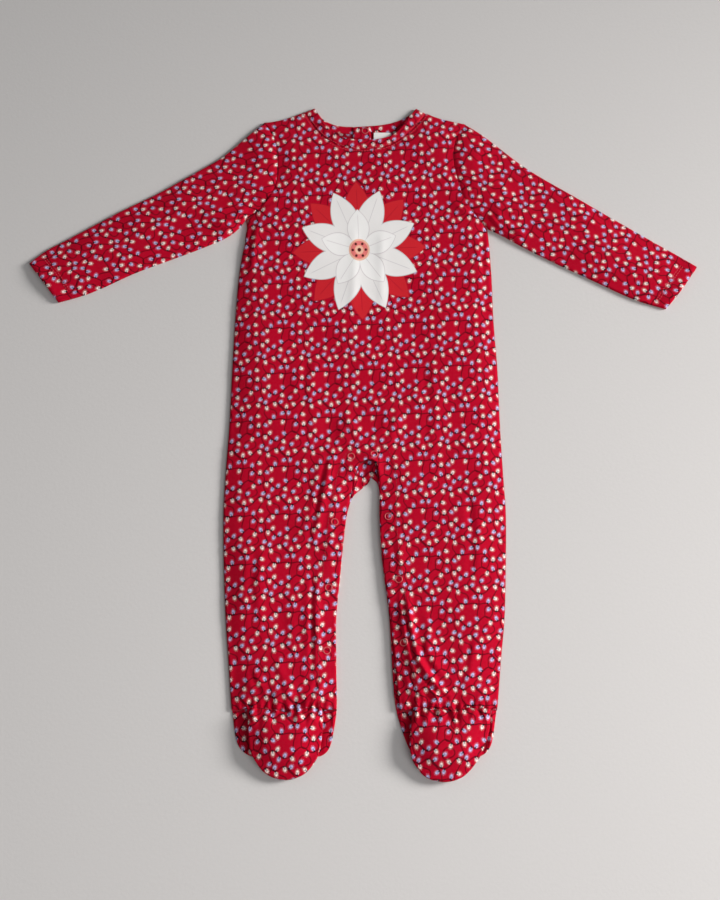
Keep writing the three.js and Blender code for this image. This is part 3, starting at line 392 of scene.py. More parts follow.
def jersey_material(name, picture=False, painted_shade=False):
    """Printed jersey: the print, a knit relief, a soft nap, and for the front the picture on it. A second
    version is darkened towards a dark red: painted shade, for cloth that lies in shade under another layer."""
    material = bpy.data.materials.new(name)
    material.use_nodes = True
    tree = material.node_tree
    shader = tree.nodes["Principled BSDF"]
    source = tree.nodes.new("ShaderNodeAttribute")
    source.attribute_name = "cloth_place"
    place = Value(tree, source.outputs["Vector"])
    pattern = tree.nodes.new("ShaderNodeGroup")
    pattern.node_tree = print_group() if "string_lights_print" not in bpy.data.node_groups \
        else bpy.data.node_groups["string_lights_print"]
    connect(tree, place, pattern.inputs[0])
    shown = Value(tree, pattern.outputs[0])
    wear = noise(tree, place, 0.4, 3.0, 0.6)
    faded = mixed(tree, "RGBA", (wear - 0.35) * 0.12, shown, colour(205, 90, 100))
    if picture:
        flower = tree.nodes.new("ShaderNodeGroup")
        flower.node_tree = flower_group()
        connect(tree, place, flower.inputs[0])
        faded = mixed(tree, "RGBA", Value(tree, flower.outputs["Cover"]), faded,
                      Value(tree, flower.outputs["Color"]))
    # Painted shade: the colour darkened towards a dark red, for cloth that lies in shade under another layer
    if painted_shade:
        faded = mixed(tree, "RGBA", INSIDE_PAINTED_SHADE_SHARE, faded, INSIDE_PAINTED_SHADE)
    tree.links.new(faded.socket, shader.inputs["Base Color"])

    # Knit relief: columns of small Vs
    x, y, _ = parts_of(tree, place)
    column = (x / KNIT_COLUMN).math("PINGPONG", 0.5)
    ribs = (column * (2 * math.pi)).cosine()
    slanted = ((y / KNIT_COURSE - column * 1.4) * (2 * math.pi)).sine()
    relief = ribs * -0.5 + slanted * 0.35 + noise(tree, place, 3.0, 2.0) * 0.8
    bump = tree.nodes.new("ShaderNodeBump")
    bump.inputs["Strength"].default_value = 0.35
    bump.inputs["Distance"].default_value = 0.12 * MM
    tree.links.new(relief.socket, bump.inputs["Height"])
    tree.links.new(bump.outputs["Normal"], shader.inputs["Normal"])
    roughness = wear * 0.12 + 0.78
    tree.links.new(roughness.socket, shader.inputs["Roughness"])
    shader.inputs["Specular IOR Level"].default_value = 0.05
    shader.inputs["Sheen Weight"].default_value = 0.02
    shader.inputs["Sheen Roughness"].default_value = 0.45
    shader.inputs["Sheen Tint"].default_value = (1.0, 0.82, 0.82, 1.0)
    return material


def plain_material(name, low, high, scale, roughness, bump_height, metallic=0.0):
    """A material of one colour that varies a little, with a fine relief."""
    material = bpy.data.materials.new(name)
    material.use_nodes = True
    tree = material.node_tree
    shader = tree.nodes["Principled BSDF"]
    source = tree.nodes.new("ShaderNodeTexCoord")
    spot = Value(tree, source.outputs["Object"])
    grain = noise(tree, spot, scale, 3.0, 0.6)
    tree.links.new(mixed(tree, "RGBA", grain, low, high).socket, shader.inputs["Base Color"])
    bump = tree.nodes.new("ShaderNodeBump")
    bump.inputs["Strength"].default_value = 0.5
    bump.inputs["Distance"].default_value = bump_height * MM
    tree.links.new(grain.socket, bump.inputs["Height"])
    tree.links.new(bump.outputs["Normal"], shader.inputs["Normal"])
    shader.inputs["Roughness"].default_value = roughness
    shader.inputs["Metallic"].default_value = metallic
    return material


# ---- shapes
def welded(node):
    """The CAD node's mesh as a bmesh with its corners joined."""
    mesh = bmesh.new()
    mesh.from_mesh(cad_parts[node].data)
    bmesh.ops.remove_doubles(mesh, verts=mesh.verts, dist=WELD)
    mesh.normal_update()
    return mesh


def upper_rim(node):
    """The upper edge all round a wall of cloth, as one closed line of points in order, in millimetres."""
    mesh = welded(node)
    beside = {}
    for edge in mesh.edges:
        heights = sorted(face.normal.z for face in edge.link_faces)
        if len(heights) == 2 and heights[1] > 0.6 and abs(heights[0]) < 0.35:
            first, second = edge.verts
            beside.setdefault(first, []).append(second)
            beside.setdefault(second, []).append(first)
    start = max(beside, key=lambda vert: (vert.co.y, vert.co.x))
    line, before, now = [], None, start
    while True:
        line.append(now.co / MM)
        following = [vert for vert in beside[now] if vert is not before]
        if not following or len(line) > len(beside):
            break
        before, now = now, following[0]
        if now is start:
            break
    mesh.free()
    return line


def stretch_between(line, start, end):
    """The shorter way along a closed line between the points nearest to two plan points."""
    def nearest(spot):
        return min(range(len(line)), key=lambda i: (line[i].xy - Vector(spot)).length)
    first, last = nearest(start), nearest(end)
    count = len(line)
    ways = []
    for step in (1, -1):
        way, index = [line[first]], first
        while index != last:
            index = (index + step) % count
            way.append(line[index])
        ways.append(way)
    return min(ways, key=lambda way: sum((a - b).length for a, b in zip(way, way[1:])))


def resampled(line, step):
    """Points at even steps along a smooth curve through the line."""
    points = [Vector(point) for point in line]
    fine = []
    for index in range(len(points) - 1):
        p1, p2 = points[index], points[index + 1]
        p0 = points[index - 1] if index else p1 * 2 - p2
        p3 = points[index + 2] if index + 2 < len(points) else p2 * 2 - p1
        for part in range(8):
            t = part / 8
            fine.append(0.5 * (2 * p1 + (p2 - p0) * t + (2 * p0 - 5 * p1 + 4 * p2 - p3) * t * t
                               + (3 * p1 - p0 - 3 * p2 + p3) * t ** 3))
    fine.append(points[-1])
    lengths = np.cumsum([0.0] + [(b - a).length for a, b in zip(fine, fine[1:])])
    count = max(int(round(lengths[-1] / step)), 1)
    coords = np.array([list(point) for point in fine])
    spots = np.linspace(0, lengths[-1], count + 1)
    return [Vector([np.interp(s, lengths, coords[:, k]) for k in range(coords.shape[1])]) for s in spots]


def sideways(line, distance):
    """The line moved to the left of its direction, in plan."""
    moved = []
    for index, point in enumerate(line):
        ahead = line[min(index + 1, len(line) - 1)] - line[max(index - 1, 0)]
        left = Vector((-ahead.y, ahead.x)).normalized()
        moved.append(Vector((point.x + left.x * distance, point.y + left.y * distance, point.z)))
    return moved


def distance_and_share(spots, line):
    """For each plan point: its distance to a line, signed by side, and how far along the line it is, 0 to 1."""
    best = np.full(len(spots), FAR)
    signed = np.zeros(len(spots))
    share = np.zeros(len(spots))
    points = np.array([list(point)[:2] for point in line])
    lengths = np.hypot(*np.diff(points, axis=0).T)
    travelled = np.concatenate([[0], np.cumsum(lengths)])
    for index, length in enumerate(lengths):
        if length < WELD:
            continue
        along = (points[index + 1] - points[index]) / length
        offset = spots - points[index]
        place = np.clip(offset @ along, 0, length)
        gap = offset - place[:, None] * along
        distance = np.hypot(gap[:, 0], gap[:, 1])
        side = np.sign(along[0] * offset[:, 1] - along[1] * offset[:, 0])
        closer = distance < best
        best = np.where(closer, distance, best)
        signed = np.where(closer, side * distance, signed)
        share = np.where(closer, (travelled[index] + place) / travelled[-1], share)
    return signed, share, travelled[-1]


def crease_height(spots, path, width, height):
    """A crease along a path, which fades at both ends: a swell where the height is positive; where it is
    negative, a trough between two raised sides, since the cloth can rise off what it lies on but not sink."""
    signed, share, _ = distance_and_share(spots, path)
    fade = np.clip(np.minimum(share, 1 - share) * 4, 0, 1)
    fade = fade * fade * (3 - 2 * fade)
    uneven = 1 + 0.25 * np.sin(9 * share + 3 * width)
    ends = np.where((share > 0.001) & (share < 0.999), 1.0, 0.0)
    if height > 0:
        return height * fade * ends * uneven * np.exp(-(signed / width) ** 2)
    place = signed / width
    spread = np.where(np.abs(place) > TROUGH_SIDE, 1.5, 0.75)
    sides = np.exp(-((np.abs(place) - TROUGH_SIDE) / spread) ** 2)
    steep = np.where(place > 0, 1.0, 0.6)
    return -height * TROUGH_RISE * fade * ends * uneven * sides * steep


def pucker_height(spots, path, wave, height, reach):
    """Small gathers square to a seam, uneven along it, that fade away from it."""
    signed, share, length = distance_and_share(spots, path)
    along = share * length
    ripple = np.sin(along * 2 * math.pi / wave + 1.3 * np.sin(along / 17.0)) \
        + 0.5 * np.sin(along * 2 * math.pi / (wave * 1.63) + 2.0)
    fade = np.clip(np.minimum(share, 1 - share) * 9, 0, 1)
    return height * fade * ripple * np.exp(-(signed / reach) ** 2)


def soft_waves(spots, height):
    """The cloth never lies quite flat: slow waves of unlike lengths and directions."""
    x, y = spots.T
    return height * (np.sin(x / 17.0 + y / 41.0) * 0.5 + np.sin(y / 23.0 - x / 53.0 + 1.1) * 0.45
                     + np.sin((x + y) / 13.0 + 2.3) * 0.25 + np.sin((x - 1.3 * y) / 19.0 + 0.4) * 0.3)


def puffed(spots, borders, height, reach):
    """How far the cloth rises between the seams that hold it down."""
    nearest = np.full(len(spots), FAR)
    for border in borders:
        nearest = np.minimum(nearest, np.abs(distance_and_share(spots, border)[0]))
    return height * (1 - np.exp(-(nearest / reach) ** 2))


# Creases of the upper cloth: (path, width, height). Troughs are negative.
FRONT_CREASES = [
    ([(-35, -22), (-41, -50), (-50, -100), (-60, -142)], 3.4, -1.1),
    ([(-51, -148), (-53, -200), (-52, -262), (-60, -282)], 3.2, -1.0),
    ([(-24, -60), (-33, -112), (-39, -160)], 4.0, 0.5),
    ([(-72, -160), (-75, -210), (-70, -250)], 5.0, 0.5),
    ([(-112, -120), (-116, -180), (-112, -235)], 5.5, -0.5),
    ([(-96, -255), (-84, -278), (-80, -298)], 4.0, -0.6),
    ([(-46, -282), (-62, -287), (-86, -285), (-104, -292)], 2.8, -1.0),
    ([(-44, -270), (-52, -290), (-66, -299)], 2.6, -0.9),
    ([(-118, -262), (-106, -284), (-100, -299)], 3.4, -0.6),
    ([(40, -178), (47, -228), (53, -256), (63, -273), (76, -287), (96, -298)], 2.5, -2.2),
    ([(60, -228), (62, -246), (70, -262), (82, -276)], 2.6, -0.9),
    ([(44, -262), (52, -278), (64, -290), (80, -297)], 2.4, -0.8),
    ([(62, -196), (70, -240), (86, -272), (104, -290)], 4.0, 0.9),
    ([(110, -230), (104, -262), (96, -284)], 4.2, -0.6),
    ([(46, -268), (52, -284), (62, -297)], 2.8, -0.8),
    ([(30, -120), (34, -160), (36, -200)], 4.0, -0.45),
    ([(110, -60), (114, -120), (110, -180)], 5.5, -0.5),
    ([(-10, 232), (-9, 180), (-12, 118)], 4.5, 0.5),
    ([(21, 226), (20, 170), (22, 120)], 4.5, 0.45),
    ([(-122, 236), (-124, 205), (-128, 170)], 3.2, -0.9),
    ([(133, 228), (132, 190), (134, 150)], 3.6, -0.7),
    ([(138, 234), (122, 246), (99, 262)], 3.0, -0.9),
    ([(-124, 244), (-108, 254), (-92, 262)], 3.4, -0.7),
    ([(126, 238), (112, 240), (98, 238)], 3.2, 0.6),
    ([(-60, 90), (-64, 30), (-58, -30)], 6.0, -0.45),
    ([(64, 80), (70, 20), (66, -50)], 6.0, -0.45),
    ([(-20, 60), (-16, 10), (-22, -30)], 5.0, 0.4),
    ([(34, 20), (26, -12), (16, -30)], 3.6, -0.6),
    ([(-26, 10), (-14, -14), (-2, -32)], 3.6, -0.6),
    ([(104, 60), (110, 0), (108, -50)], 6.0, 0.4),
    ([(-106, 100), (-112, 40), (-110, -20)], 6.0, 0.4),
    ([(-15, -64), (-11, -50), (-2, -42), (6, -40), (13, -45), (17, -60), (18, -76)], 7.0, 3.4),
]
SLEEVE_CREASES = {
    "left": [
        ([(-126, 247), (-141, 235), (-163, 221)], 2.4, -1.2),
        ([(-124, 262), (-146, 246), (-176, 228)], 4.2, -0.6),
        ([(-112, 300), (-128, 276), (-150, 258)], 4.6, 0.6),
        ([(-118, 336), (-112, 312), (-110, 290)], 3.8, -0.5),
        ([(-190, 262), (-230, 238), (-272, 212)], 5.2, -0.5),
        ([(-200, 220), (-246, 196), (-290, 176)], 5.0, 0.5),
        ([(-262, 240), (-300, 214), (-332, 196)], 4.6, 0.4),
        ([(-292, 178), (-316, 170), (-338, 166)], 4.0, -0.4),
    ],
    "right": [
        ([(141, 250), (152, 233), (168, 219), (186, 212)], 2.3, -1.0),
        ([(137, 243), (145, 230), (158, 220)], 2.2, -0.45),
        ([(132, 270), (152, 250), (184, 226)], 4.2, 0.6),
        ([(120, 300), (140, 276), (166, 254)], 4.6, -0.5),
        ([(126, 334), (120, 312), (116, 292)], 3.8, -0.5),
        ([(196, 262), (236, 236), (280, 208)], 5.2, -0.5),
        ([(206, 210), (250, 188), (294, 164)], 5.0, 0.5),
        ([(280, 222), (312, 200), (338, 180)], 4.6, 0.4),
    ],
}
CROTCH_CREASES = [
    ([(9.0, -38), (8.4, -48), (9.6, -62)], 2.0, -1.1),
    ([(-9.5, -54), (-11.5, -66), (-14.5, -84)], 1.8, -0.9),
    ([(-1, -40), (-6, -52), (-4, -64)], 3.0, 1.2),
]
HEEL_GATHERS = [
    ([(-129, -298), (-128.5, -318), (-125, -344)], 1.8, 1.0),
    ([(-38, -296), (-36, -320), (-41, -350)], 2.4, 1.3),
    ([(-31, -296), (-30, -318), (-34, -344)], 2.0, 1.2),
    ([(38, -298), (39, -322), (45, -348)], 2.0, 1.0),
    ([(130, -296), (131, -318), (127, -346)], 2.0, 1.3),
]
LOWEST_UNDERSIDE = 2.72
EDGE_PLAY = 0.12


def smooth_cloth(node, crease, levels=SUBDIVISIONS):
    """The CAD node's wall of cloth as a fine smooth mesh, in a new object of its own."""
    mesh = welded(node)
    bmesh.ops.join_triangles(mesh, faces=mesh.faces, angle_face_threshold=math.radians(35),
                             angle_shape_threshold=math.radians(180))
    mesh.normal_update()
    layer = mesh.edges.layers.float.new("crease_edge")
    for edge in mesh.edges:
        if len(edge.link_faces) == 2 and edge.calc_face_angle(0.0) > math.radians(60):
            edge[layer] = crease
    data = bpy.data.meshes.new(node + "_cloth")
    mesh.to_mesh(data)
    mesh.free()
    piece = bpy.data.objects.new(node + "_cloth", data)
    bpy.context.scene.collection.objects.link(piece)
    subdivision = piece.modifiers.new("Smooth", "SUBSURF")
    subdivision.levels = levels
    subdivision.render_levels = levels
    view = bpy.context.evaluated_depsgraph_get()
    fine = bpy.data.meshes.new_from_object(piece.evaluated_get(view))
    piece.modifiers.clear()
    piece.data = fine
    bpy.data.meshes.remove(data)
    fine.name = node + "_cloth"
    return piece


def points_of(piece):
    coords = np.zeros(len(piece.data.vertices) * 3)
    piece.data.vertices.foreach_get("co", coords)
    return coords.reshape(-1, 3) / MM


def set_points(piece, points):
    piece.data.vertices.foreach_set("co", (points * MM).ravel())
    piece.data.update()


def dress(piece, spots, material, turn=0.0, shift=(0.0, 0.0)):
    """Gives a piece its material, and each of its points the place in the printed cloth that it was cut at."""
    cos_turn, sin_turn = math.cos(turn), math.sin(turn)
    place = np.zeros((len(spots), 3))
    place[:, 0] = spots[:, 0] * cos_turn + spots[:, 1] * sin_turn + shift[0]
    place[:, 1] = -spots[:, 0] * sin_turn + spots[:, 1] * cos_turn + shift[1]
    attribute = piece.data.attributes.new("cloth_place", "FLOAT_VECTOR", "POINT")
    attribute.data.foreach_set("vector", place.ravel())
    piece.data.materials.clear()
    piece.data.materials.append(material)
    piece.data.polygons.foreach_set("use_smooth", np.ones(len(piece.data.polygons), bool))
    piece.data.update()


def claim(piece, nodes):
    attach(piece, "root")
    if nodes:
        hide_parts(*nodes)


def normals_up(piece):
    normals = np.zeros(len(piece.data.vertices) * 3)
    piece.data.vertices.foreach_get("normal", normals)
    return normals.reshape(-1, 3)[:, 2]


def shaped(piece, extra, lowest, upper_from=None):
    """Moves the points of a piece up and down by extra, but never below what lies under it."""
    points = points_of(piece)
    facing = normals_up(piece)
    underside = points[:, 2] - CLOTH * (facing + 1) / 2
    room = np.where(underside > lowest, lowest - underside, -EDGE_PLAY)
    move = np.maximum(extra, room)
    if upper_from is not None:
        share = np.clip((points[:, 2] - upper_from[0]) / (upper_from[1] - upper_from[0]), 0, 1)
        move = move * share
    points[:, 2] += move
    set_points(piece, points)


def tree_of(piece):
    mesh = piece.data
    return BVHTree.FromPolygons([v.co.copy() for v in mesh.vertices],
                                [tuple(p.vertices) for p in mesh.polygons])


def height_on(tree, spot):
    """Top of a piece at a plan point, in millimetres, or None beside it."""
    found = tree.ray_cast(Vector((spot[0] * MM, spot[1] * MM, 0.1)), Vector((0, 0, -1)))
    return None if found[0] is None else found[0].z / MM


def tube_mesh(name, rings, closed_ends=True):
    """A mesh from rings of points, each ring closed, joined one to the next."""
    count = len(rings[0])
    verts = [point * MM for ring in rings for point in ring]
    faces = []
    for row in range(len(rings) - 1):
        for step in range(count):
            after = (step + 1) % count
            faces.append((row * count + step, row * count + after,
                          (row + 1) * count + after, (row + 1) * count + step))
    if closed_ends:
        faces.append(tuple(reversed(range(count))))
        faces.append(tuple((len(rings) - 1) * count + step for step in range(count)))
    mesh = bpy.data.meshes.new(name)
    mesh.from_pydata(verts, [], faces)
    mesh.update()
    return mesh


def new_piece(name, mesh):
    piece = bpy.data.objects.new(name, mesh)
    bpy.context.scene.collection.objects.link(piece)
    return piece


SEAM_SIDES = 8


def lower_top_beside(carriers, spot, left, away):
    """The tops of the cloths on both sides of a seam: the lower of the two, or None where there is none."""
    tops = []
    for side in (away, -away):
        found = [height_on(tree, spot + left * side) for tree in carriers]
        found = [height for height in found if height is not None]
        if found:
            tops.append(max(found))
    return min(tops) if tops else None


def seam_roll(name, path, half_width, low, below_top, material, carriers=(), pitch=3.0):
    """The rolled seam between two cloths: a slim closed roll along a path, from low to just below its top.
    Where carriers are given, its top is that of the lower cloth beside it."""
    line = resampled(path, pitch)
    rings = []
    for index, point in enumerate(line):
        ahead = line[min(index + 1, len(line) - 1)] - line[max(index - 1, 0)]
        left = Vector((-ahead.y, ahead.x)).normalized()
        beside = lower_top_beside(carriers, point.xy, left, half_width + 0.6)
        top = (point.z if beside is None else max(beside, low + 0.6)) - below_top
        middle, half_height = (top + low) / 2, (top - low) / 2
        ring = []
        for step in range(SEAM_SIDES):
            angle = 2 * math.pi * step / SEAM_SIDES
            out = half_width * math.cos(angle)
            ring.append(Vector((point.x + left.x * out, point.y + left.y * out,
                                middle + half_height * math.sin(angle))))
        rings.append(ring)
    piece = new_piece(name, tube_mesh(name, rings))
    piece.data.materials.append(material)
    claim(piece, [])
    return piece


STITCH_RADIUS = 0.32
LEG_STITCHES_FROM_EDGE = 18.0


def stitch_row(name, paths, carriers, material, length=2.3, pitch=3.1):
    """Rows of thread stitches that lie on the cloth below them, as one piece."""
    verts, faces = [], []
    for path in paths:
        line = resampled(path, pitch)
        for first, second in zip(line, line[1:]):
            step = second.xy - first.xy
            if step.length < WELD:
                continue
            step = step.normalized()
            left = Vector((-step.y, step.x))
            ring_starts = []
            for along, size in ((0.0, 0.45), (0.25, 1.0), (0.75, 1.0), (1.0, 0.45)):
                spot = first.xy + step * (length * along)
                heights = [height for height in (height_on(tree, spot) for tree in carriers)
                           if height is not None]
                if not heights:
                    break
                radius = STITCH_RADIUS * size
                middle = max(heights) + radius * 0.35 - (0.15 if size < 1 else 0.0)
                ring_starts.append(len(verts))
                for out, up in ((1, 0), (0, 1), (-1, 0), (0, -1)):
                    verts.append(Vector((spot.x + left.x * out * radius, spot.y + left.y * out * radius,
                                         middle + up * radius)) * MM)
            if len(ring_starts) < 4:
                continue
            for one, two in zip(ring_starts, ring_starts[1:]):
                for step_index in range(4):
                    after = (step_index + 1) % 4
                    faces.append((one + step_index, one + after, two + after, two + step_index))
            faces.append(tuple(ring_starts[0] + k for k in (3, 2, 1, 0)))
            faces.append(tuple(ring_starts[-1] + k for k in (0, 1, 2, 3)))
    used = sorted({index for face in faces for index in face})
    renumbered = {index: place for place, index in enumerate(used)}
    mesh = bpy.data.meshes.new(name)
    mesh.from_pydata([verts[index] for index in used], [],
                     [tuple(renumbered[index] for index in face) for face in faces])
    mesh.update()
    mesh.polygons.foreach_set("use_smooth", np.ones(len(mesh.polygons), bool))
    mesh.materials.append(material)
    piece = new_piece(name, mesh)
    claim(piece, [])
    return piece


# ---- materials
jersey = jersey_material("printed_jersey")
jersey_front = jersey_material("printed_jersey_front", picture=True)
# The back's inner face, with painted shade
jersey_inside_painted_shade = jersey_material("printed_jersey_inside_painted_shade", painted_shade=True)
tape = plain_material("white_tape", colour(236, 235, 231), colour(248, 247, 245), 900.0, 0.75, 0.15)
# The seams' dark red cloth; on the roll inside the crotch arch its darkness also serves as painted shade
seam_cloth_and_painted_shade = plain_material("seam_cloth_and_painted_shade", colour(128, 2, 26), colour(154, 6, 36), 600.0, 0.85, 0.1)
gathered_seam = plain_material("gathered_seam", colour(150, 4, 32), colour(176, 10, 42), 600.0, 0.85, 0.1)
thread = plain_material("red_thread", colour(190, 30, 52), colour(222, 84, 98), 1500.0, 0.55, 0.05)
leg_thread = plain_material("dark_red_thread", colour(124, 4, 28), colour(156, 14, 42), 1500.0, 0.6, 0.05)
enamel = plain_material("red_enamel", colour(196, 70, 80), colour(212, 102, 104), 400.0, 0.4, 0.02, 0.2)

# ---- the cloth pieces
ANKLE_SWAY = 1.5
ANKLE_SWAY_REACH = 9.0
ANKLE_Y = -303.5


def ankle_sway(x, y):
    """How far the gathers draw the ankle seam up or down, so that it doesn't run straight."""
    near = np.exp(-((y - ANKLE_Y) / ANKLE_SWAY_REACH) ** 2)
    middle = np.clip(np.minimum(np.abs(np.abs(x) - 30), np.abs(np.abs(x) - 134)) / 20, 0, 1)
    return ANKLE_SWAY * near * middle * (np.sin(x / 9.0 + 1.2) + 0.6 * np.sin(x / 3.9))


def sway(piece):
    points = points_of(piece)
    points[:, 1] += ankle_sway(points[:, 0], points[:, 1])
    set_points(piece, points)


front_rim = upper_rim("front_body")
for point in front_rim:
    point.y += float(ankle_sway(point.x, point.y))
ARMHOLE_ENDS = {"left": ((-112.5, 356.6), (-130, 237.5)), "right": ((116.8, 354.5), (138.5, 226))}
SHOULDER_ENDS = {"left": ((-112.5, 356.6), (-66.2, 370.3)), "right": ((116.8, 354.5), (71.8, 368.6))}
SIDE_ENDS = {"left": ((-130, 237.5), (-133.5, -303.5)), "right": ((138.5, 226), (136, -303.5))}
ANKLE_ENDS = {"left": ((-133.5, -303.5), (-26.8, -303.5)), "right": ((136, -303.5), (37, -303.5))}
INNER_ENDS = {"left": ((-26.8, -303.5), (6, -40.5)), "right": ((37, -303.5), (6, -40.5))}
TOE_ENDS = {"left": ((-115, -316), (-42, -316)), "right": ((128, -313), (49, -316))}
# Where the dark roll inside the front's crotch arch begins and ends, and how far it lies inside the edge: a
# turned edge whose darkness is painted shade
ARCH_ENDS = ((-13.5, -60), (16.5, -57))
ARCH_EDGE_INSET = -0.8
HEM_LINES = {
    "left": [(-355.2, 193.0), (-338.0, 171.5), (-323.8, 150.6)],
    "right": [(350.6, 181.8), (334.0, 159.0), (320.2, 139.6)],
}
SIDES = ("left", "right")
lines = {}
for side in SIDES:
    lines["armhole_" + side] = stretch_between(front_rim, *ARMHOLE_ENDS[side])
    lines["shoulder_" + side] = stretch_between(front_rim, *SHOULDER_ENDS[side])
    lines["side_" + side] = stretch_between(front_rim, *SIDE_ENDS[side])
    lines["ankle_" + side] = stretch_between(front_rim, *ANKLE_ENDS[side])
    lines["inner_" + side] = stretch_between(front_rim, *INNER_ENDS[side])
lines["neck"] = stretch_between(front_rim, SHOULDER_ENDS["left"][1], SHOULDER_ENDS["right"][1])

PRINT_LEAN = 0.045
# Painted shade goes on the back's upper face above this y, which shows through the neck and crotch openings
INSIDE_PAINTED_SHADE_FROM_Y = -150.0
front = smooth_cloth("front_body", 0.75)
sway(front)
spots = points_of(front)[:, :2]
extra = soft_waves(spots, 0.5) + puffed(spots, list(lines.values()), 1.3, 9.0)
for path, width, height in FRONT_CREASES:
    extra += crease_height(spots, path, width, height)
for side in SIDES:
    extra += pucker_height(spots, lines["armhole_" + side], 7.5, 0.28, 6.0)
    extra += pucker_height(spots, lines["ankle_" + side], 7.5, 1.3, 11.0)
    extra += pucker_height(spots, lines["ankle_" + side], 4.3, 0.45, 6.0)
    extra += pucker_height(spots, lines["side_" + side], 11.0, 0.2, 5.0)
    extra += pucker_height(spots, lines["inner_" + side], 14.0, 0.2, 6.0)
shaped(front, extra, LOWEST_UNDERSIDE)
dress(front, spots, jersey_front, PRINT_LEAN)
claim(front, ["front_body"])

back = smooth_cloth("back_body", 0.75)
spots = points_of(back)[:, :2]
extra = np.zeros(len(spots))
for path, width, height in CROTCH_CREASES + HEEL_GATHERS:
    extra += crease_height(spots, path, width, height)
shaped(back, extra, 0.0)
dress(back, spots, jersey, 0.0, (9, 22))
# The back's upper face above that y, seen through the neck and crotch openings, gets the darker material:
# painted shade
back.data.materials.append(jersey_inside_painted_shade)
for face in back.data.polygons:
    if face.normal.z > 0 and face.center.y > INSIDE_PAINTED_SHADE_FROM_Y * MM:
        face.material_index = 1
claim(back, ["back_body"])

SLEEVE_TURN = {"left": math.radians(-60), "right": math.radians(60)}
sleeves = {}
for side in SIDES:
    sleeve = smooth_cloth("sleeve_" + side, 0.75)
    spots = points_of(sleeve)[:, :2]
    rim = [lines["armhole_" + side], HEM_LINES[side]]
    extra = soft_waves(spots, 0.45) + puffed(spots, rim, 1.0, 7.0)
    for path, width, height in SLEEVE_CREASES[side]:
        extra += crease_height(spots, path, width, height)
    extra += pucker_height(spots, lines["armhole_" + side], 7.5, 0.28, 7.0)
    shaped(sleeve, extra, 1.6, (1.6, 2.6))
    dress(sleeve, spots, jersey, SLEEVE_TURN[side], (17, 5))
    claim(sleeve, ["sleeve_" + side])
    sleeves[side] = sleeve

band = smooth_cloth("neck_band", 0.6)
spots = points_of(band)[:, :2]
shaped(band, puffed(spots, [lines["neck"]], 0.9, 4.0), 3.5, (1.3, 3.5))
dress(band, spots, jersey, 0.15, (20, 13))
claim(band, ["neck_band"])

placket = smooth_cloth("back_placket", 0.7)
dress(placket, points_of(placket)[:, :2], jersey, 0.0, (31, 3))
claim(placket, ["back_placket"])

leg_placket = smooth_cloth("leg_placket", 0.7, 3)
spots = points_of(leg_placket)[:, :2]
extra = np.zeros(len(spots))
for path, width, height in CROTCH_CREASES:
    extra += crease_height(spots, path, width, height)
shaped(leg_placket, extra, 1.5)
dress(leg_placket, spots, jersey, 0.2, (5, 30))
claim(leg_placket, ["leg_placket"])

label = smooth_cloth("neck_label", 0.9)
label.data.materials.clear()
label.data.materials.append(tape)
claim(label, ["neck_label"])

foot_tops, foot_soles = {}, {}
for side in SIDES:
    top = smooth_cloth("foot_top_" + side, 0.7)
    sway(top)
    spots = points_of(top)[:, :2]
    extra = pucker_height(spots, lines["ankle_" + side], 7.5, 1.3, 15.0) + soft_waves(spots, 0.4)
    extra += pucker_height(spots, lines["ankle_" + side], 4.3, 0.45, 8.0)
    extra += puffed(spots, [stretch_between(upper_rim("foot_top_" + side), *TOE_ENDS[side])], 4.2, 2.8)
    shaped(top, extra, 4.6)
    dress(top, spots, jersey, 0.05, (3, 20))
    claim(top, ["foot_top_" + side])
    foot_tops[side] = top
    sole = smooth_cloth("foot_sole_" + side, 0.7)
    dress(sole, points_of(sole)[:, :2], jersey, 0.1, (14, 27))
    claim(sole, ["foot_sole_" + side])
    foot_soles[side] = sole

# ---- seams and stitches
front_tree, back_tree, band_tree = tree_of(front), tree_of(back), tree_of(band)
sleeve_trees = {side: tree_of(sleeves[side]) for side in SIDES}
seams = {side: [] for side in SIDES}
for side in SIDES:
    seams[side] += [
        seam_roll("seam_armhole_" + side, lines["armhole_" + side], 0.9, 0.3, 0.05, gathered_seam,
                  (front_tree, sleeve_trees[side]), 2.0),
        seam_roll("seam_shoulder_" + side, lines["shoulder_" + side], 0.6, 0.3, 0.3, seam_cloth_and_painted_shade),
        seam_roll("seam_side_" + side, lines["side_" + side], 0.6, 0.3, 0.3, seam_cloth_and_painted_shade),
        seam_roll("seam_ankle_" + side, lines["ankle_" + side], 1.1, 1.6, -0.1, gathered_seam,
                  (front_tree, tree_of(foot_tops[side]), back_tree), 1.5),
    ]
    toe_rim = upper_rim("foot_top_" + side)
    toe = stretch_between(toe_rim, *TOE_ENDS[side])
    seams[side].append(seam_roll("seam_toe_" + side, toe, 0.6, 0.4, 0.3, seam_cloth_and_painted_shade))
seams["neck"] = [seam_roll("seam_neck", lines["neck"], 0.6, 1.6, 0.15, gathered_seam,
                           (front_tree, band_tree), 2.0)]
# A slim dark roll inside the crotch arch, under the front's edge: a turned edge of the front, whose dark seam
# cloth is also painted shade of the crevice between the front's edge and the back
arch = sideways(stretch_between(front_rim, *ARCH_ENDS), ARCH_EDGE_INSET)
seams["arch"] = [seam_roll("crotch_arch_painted_shade_roll", arch, 0.7, 2.4, 0.6, seam_cloth_and_painted_shade)]

